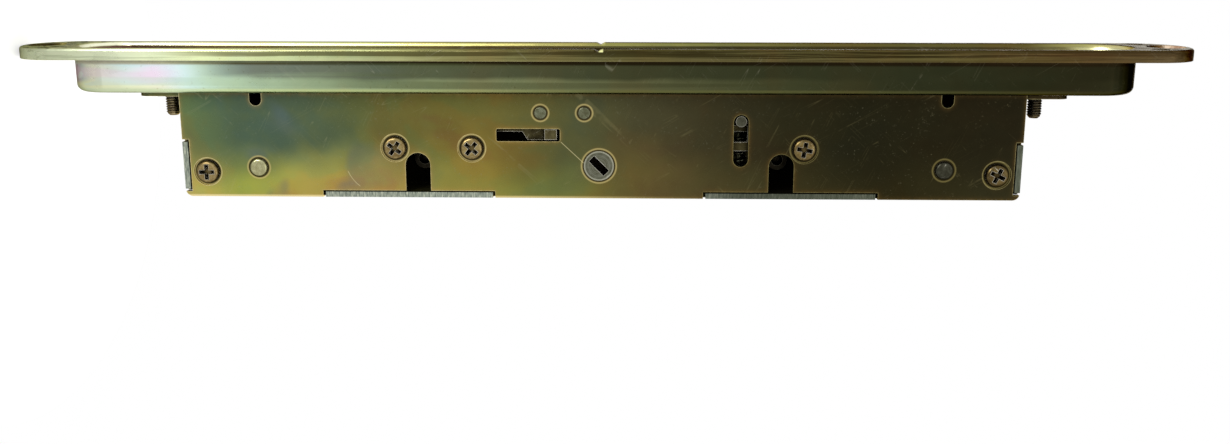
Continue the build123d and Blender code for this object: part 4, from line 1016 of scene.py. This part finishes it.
# Every node that isn't named here is bright steel.
NODE_FINISH = {
    "faceplate_tray": "tray", "tray_screws": "screw",
    "inner_plate": "plate", "inner_plate_screws": "star", "label": "paper",
    "case_body": "body", "case_cover": "cover", "cover_screws": "screw",
    "handle_nuts": "nut", "drive_hub": "hub", "plunger_pin": "pin",
    "lower_pivot_pin": "pivot", "upper_pivot_pin": "pin",
    "upper_bar": "bar", "lower_bar": "bar", "blocker_lever": "bar", "plunger_bracket": "bar",
    "upper_hook_plates": "hook", "lower_hook_plates": "hook",
}
for node, thing in frame["nodes"].items():
    material = FINISH[NODE_FINISH.get(node, "steel")]
    for material_slot in thing.material_slots:
        material_slot.material = material
    if not thing.material_slots:
        thing.data.materials.append(material)


# ---- threads and spring ----------------------------------------------------------------------

def tube(name, rings, turned_round=False):
    """Closed mesh through rings of points in millimetres, as an array of ring, turn and axis. Each
    ring is joined to the next, and the first and last are filled; turned_round turns the faces'
    order of corners round, for rings that run clockwise."""
    rows, turns = rings.shape[:2]
    index = np.arange(rows * turns).reshape(rows, turns)
    beside = np.roll(index, -1, 1)
    quads = np.stack([index[:-1], beside[:-1], beside[1:], index[1:]], -1).reshape(-1, 4)
    faces = quads.tolist() + [index[0][::-1].tolist(), index[-1].tolist()]
    if turned_round:
        faces = [face[:1] + face[:0:-1] for face in faces]
    mesh = bpy.data.meshes.new(name)
    mesh.from_pydata((rings.reshape(-1, 3) * MM).tolist(), [], faces)
    mesh.polygons.foreach_set("use_smooth", [len(face) == 4 for face in faces])
    made = bpy.data.objects.new(name, mesh)
    bpy.context.scene.collection.objects.link(made)
    return made


def thread(name, bottom, top, core, crest, pitch):
    """Screw thread on a rod along Y. The radius swings between core and crest as a rounded
    triangle of the phase y / pitch + angle / turn, and fades to the core at both ends."""
    x, low_y, z = bottom
    rows, turns = round((top - low_y) / pitch * 16), 40
    y = np.linspace(low_y, top, rows)[:, None]
    angle = np.linspace(0, 2 * np.pi, turns, endpoint=False)[None, :]
    phase = (y - low_y) / pitch + angle / (2 * np.pi)
    ridge = 0.5 - 0.5 * np.cos(2 * np.pi * phase)
    fade = np.clip(np.minimum(y - low_y, top - y) / (pitch * 0.6), 0, 1)
    radius = core + (crest - core) * ridge ** 0.7 * fade
    rings = np.stack([x + radius * np.cos(angle), y + 0 * angle, z + radius * np.sin(angle)], -1)
    made = tube(name, rings, turned_round=True)
    made.data.materials.append(FINISH["screw"])
    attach(made, "lock_case")


def coil(name, node, wire, turns, steps=30, sides=12):
    """Compression spring along Y in a node's box. The wire's centre runs on (r cos t, height,
    -r sin t), where the height rises with t and more slowly over the closed end turns."""
    low, high = in_mm(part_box(node))
    middle = (low + high) / 2
    radius = (high.x - low.x - wire) / 2
    t = np.linspace(0, 2 * np.pi * turns, turns * steps + 1)
    pace = np.clip(np.minimum(t, t[-1] - t) / (2 * np.pi) * 1.4, 0.55, 1.0)
    height = np.concatenate([[0], np.cumsum((pace[1:] + pace[:-1]) / 2)])
    y = low.y + wire / 2 + (high.y - low.y - wire) * height / height[-1]
    centre = np.stack([middle.x + radius * np.cos(t), y, middle.z - radius * np.sin(t)], -1)
    along = np.gradient(centre, axis=0)
    along /= np.linalg.norm(along, axis=1, keepdims=True)
    out = np.stack([np.cos(t), 0 * t, -np.sin(t)], -1)
    side = np.cross(along, out)
    angle = np.linspace(0, 2 * np.pi, sides, endpoint=False)[None, :, None]
    round_wire = np.cos(angle) * out[:, None] + np.sin(angle) * side[:, None]
    made = tube(name, centre[:, None] + wire / 2 * round_wire)
    made.data.materials.append(FINISH["steel"])
    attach(made, "lock_case")
    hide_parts(node)
    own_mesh(made)


stub_low, stub_high = in_mm(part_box("tray_screws"))
for name, stub_z in (("lower_stub_thread", stub_low.z + STUB_FROM_END),
                     ("upper_stub_thread", stub_high.z - STUB_FROM_END)):
    thread(name, (0.0, 10.75, stub_z), stub_high.y - 0.55, core=1.62, crest=1.95, pitch=0.7)

coil("plunger_coil", "plunger_spring", wire=0.7, turns=6)


# ---- camera, light and floor -----------------------------------------------------------------

def camera():
    """Looks at the cover plate, the faceplate's outer face upwards and +Z to the right. The lock's
    axes are turned into the camera's by three small turns, then moved in front of it."""
    turn = Euler((0.2078, -0.0256, -0.0054), "XYZ").to_matrix()
    axes = Matrix(((0, 0, 1), (0, -1, 0), (1, 0, 0)))
    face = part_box("faceplate_tray")[0].y
    shift = Vector((-2.0331, 38.8837, -310.764)) * MM + turn @ Vector((0, face, 0))
    seen = (turn @ axes).to_4x4()
    seen.translation = shift
    data = bpy.data.cameras.new("camera")
    data.sensor_width, data.lens = 36, 33.045951
    data.shift_x, data.shift_y = 0.006561, -0.0285935
    data.clip_start, data.clip_end = 0.01, 20
    made = bpy.data.objects.new("camera", data)
    made.matrix_world = seen.inverted()
    bpy.context.scene.collection.objects.link(made)
    bpy.context.scene.camera = made


def lamp(name, place, aim, size, watts):
    """Square soft box at a place, facing aim."""
    data = bpy.data.lights.new(name, "AREA")
    data.size, data.energy = size, watts
    made = bpy.data.objects.new(name, data)
    made.location = place
    made.rotation_euler = (Vector(aim) - Vector(place)).to_track_quat("-Z", "Y").to_euler()
    bpy.context.scene.collection.objects.link(made)


def world():
    """White for the camera, gloss and glass; a softer grey for diffuse light."""
    made = bpy.data.worlds.new("studio")
    bpy.context.scene.world = made
    made.use_nodes = True
    tree = made.node_tree
    back = tree.nodes["Background"]
    rays = add(tree, "LightPath").outputs
    gloss_or_glass = math_node(tree, "MAXIMUM", rays["Is Glossy Ray"], rays["Is Transmission Ray"])
    seen = math_node(tree, "MAXIMUM", rays["Is Camera Ray"], gloss_or_glass)
    grey, white = (0.42, 0.42, 0.42, 1), (1, 1, 1, 1)
    tree.links.new(blend(tree, seen, grey, white), back.inputs["Color"])


def floor():
    """Pale round floor under the standing lock: points at radius r and angle a, closed by a fan
    round its centre."""
    low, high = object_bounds()
    rings, turns, radius, drop = 12, 96, 0.085, 0.0004
    middle_y, level = (low.y + high.y) / 2, low.z - drop
    r, a = np.meshgrid(np.linspace(0, radius, rings)[1:],
                       np.linspace(0, 2 * np.pi, turns, endpoint=False), indexing="ij")
    points = np.stack([r * np.cos(a), r * np.sin(a) + middle_y, np.full_like(r, level)], -1)
    points = np.vstack([points.reshape(-1, 3), [[0, middle_y, level]]])
    index = np.arange((rings - 1) * turns).reshape(rings - 1, turns)
    beside = np.roll(index, -1, 1)
    quads = np.stack([index[:-1], index[1:], beside[1:], beside[:-1]], -1).reshape(-1, 4)
    fan = np.stack([np.full(turns, len(points) - 1), index[0], beside[0]], -1)
    mesh = bpy.data.meshes.new("floor")
    mesh.from_pydata(points.tolist(), [], quads.tolist() + fan.tolist())
    made = bpy.data.objects.new("floor", mesh)
    bpy.context.scene.collection.objects.link(made)
    paint = bpy.data.materials.new("floor paint")
    paint.use_nodes = True
    tree = paint.node_tree
    shader = tree.nodes["Principled BSDF"]
    cloud = add(tree, "TexNoise", Scale=9.0, Detail=3.0).outputs["Fac"]
    tree.links.new(ramp(tree, cloud, [(0.3, 0.86), (0.7, 0.9)]), shader.inputs["Base Color"])
    shader.inputs["Roughness"].default_value = 0.9
    glow = times(tree, add(tree, "LightPath").outputs["Is Camera Ray"], 0.6)
    tree.links.new(glow, shader.inputs["Emission Strength"])
    shader.inputs["Emission Color"].default_value = (1, 1, 1, 1)
    mesh.materials.append(paint)
    made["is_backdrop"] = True


camera()
world()
floor()
lamp("key", (0.45, -0.40, -0.42), aim=(0, 0.01, -0.06), size=0.45, watts=4.5)
lamp("fill", (0.55, 0.10, 0.45), aim=(0, 0.02, 0.05), size=0.6, watts=0.9)
lamp("far side", (-0.6, 0.25, 0.2), aim=(0, 0.02, 0), size=0.7, watts=3.0)
bpy.context.scene.view_settings.view_transform = "Standard"
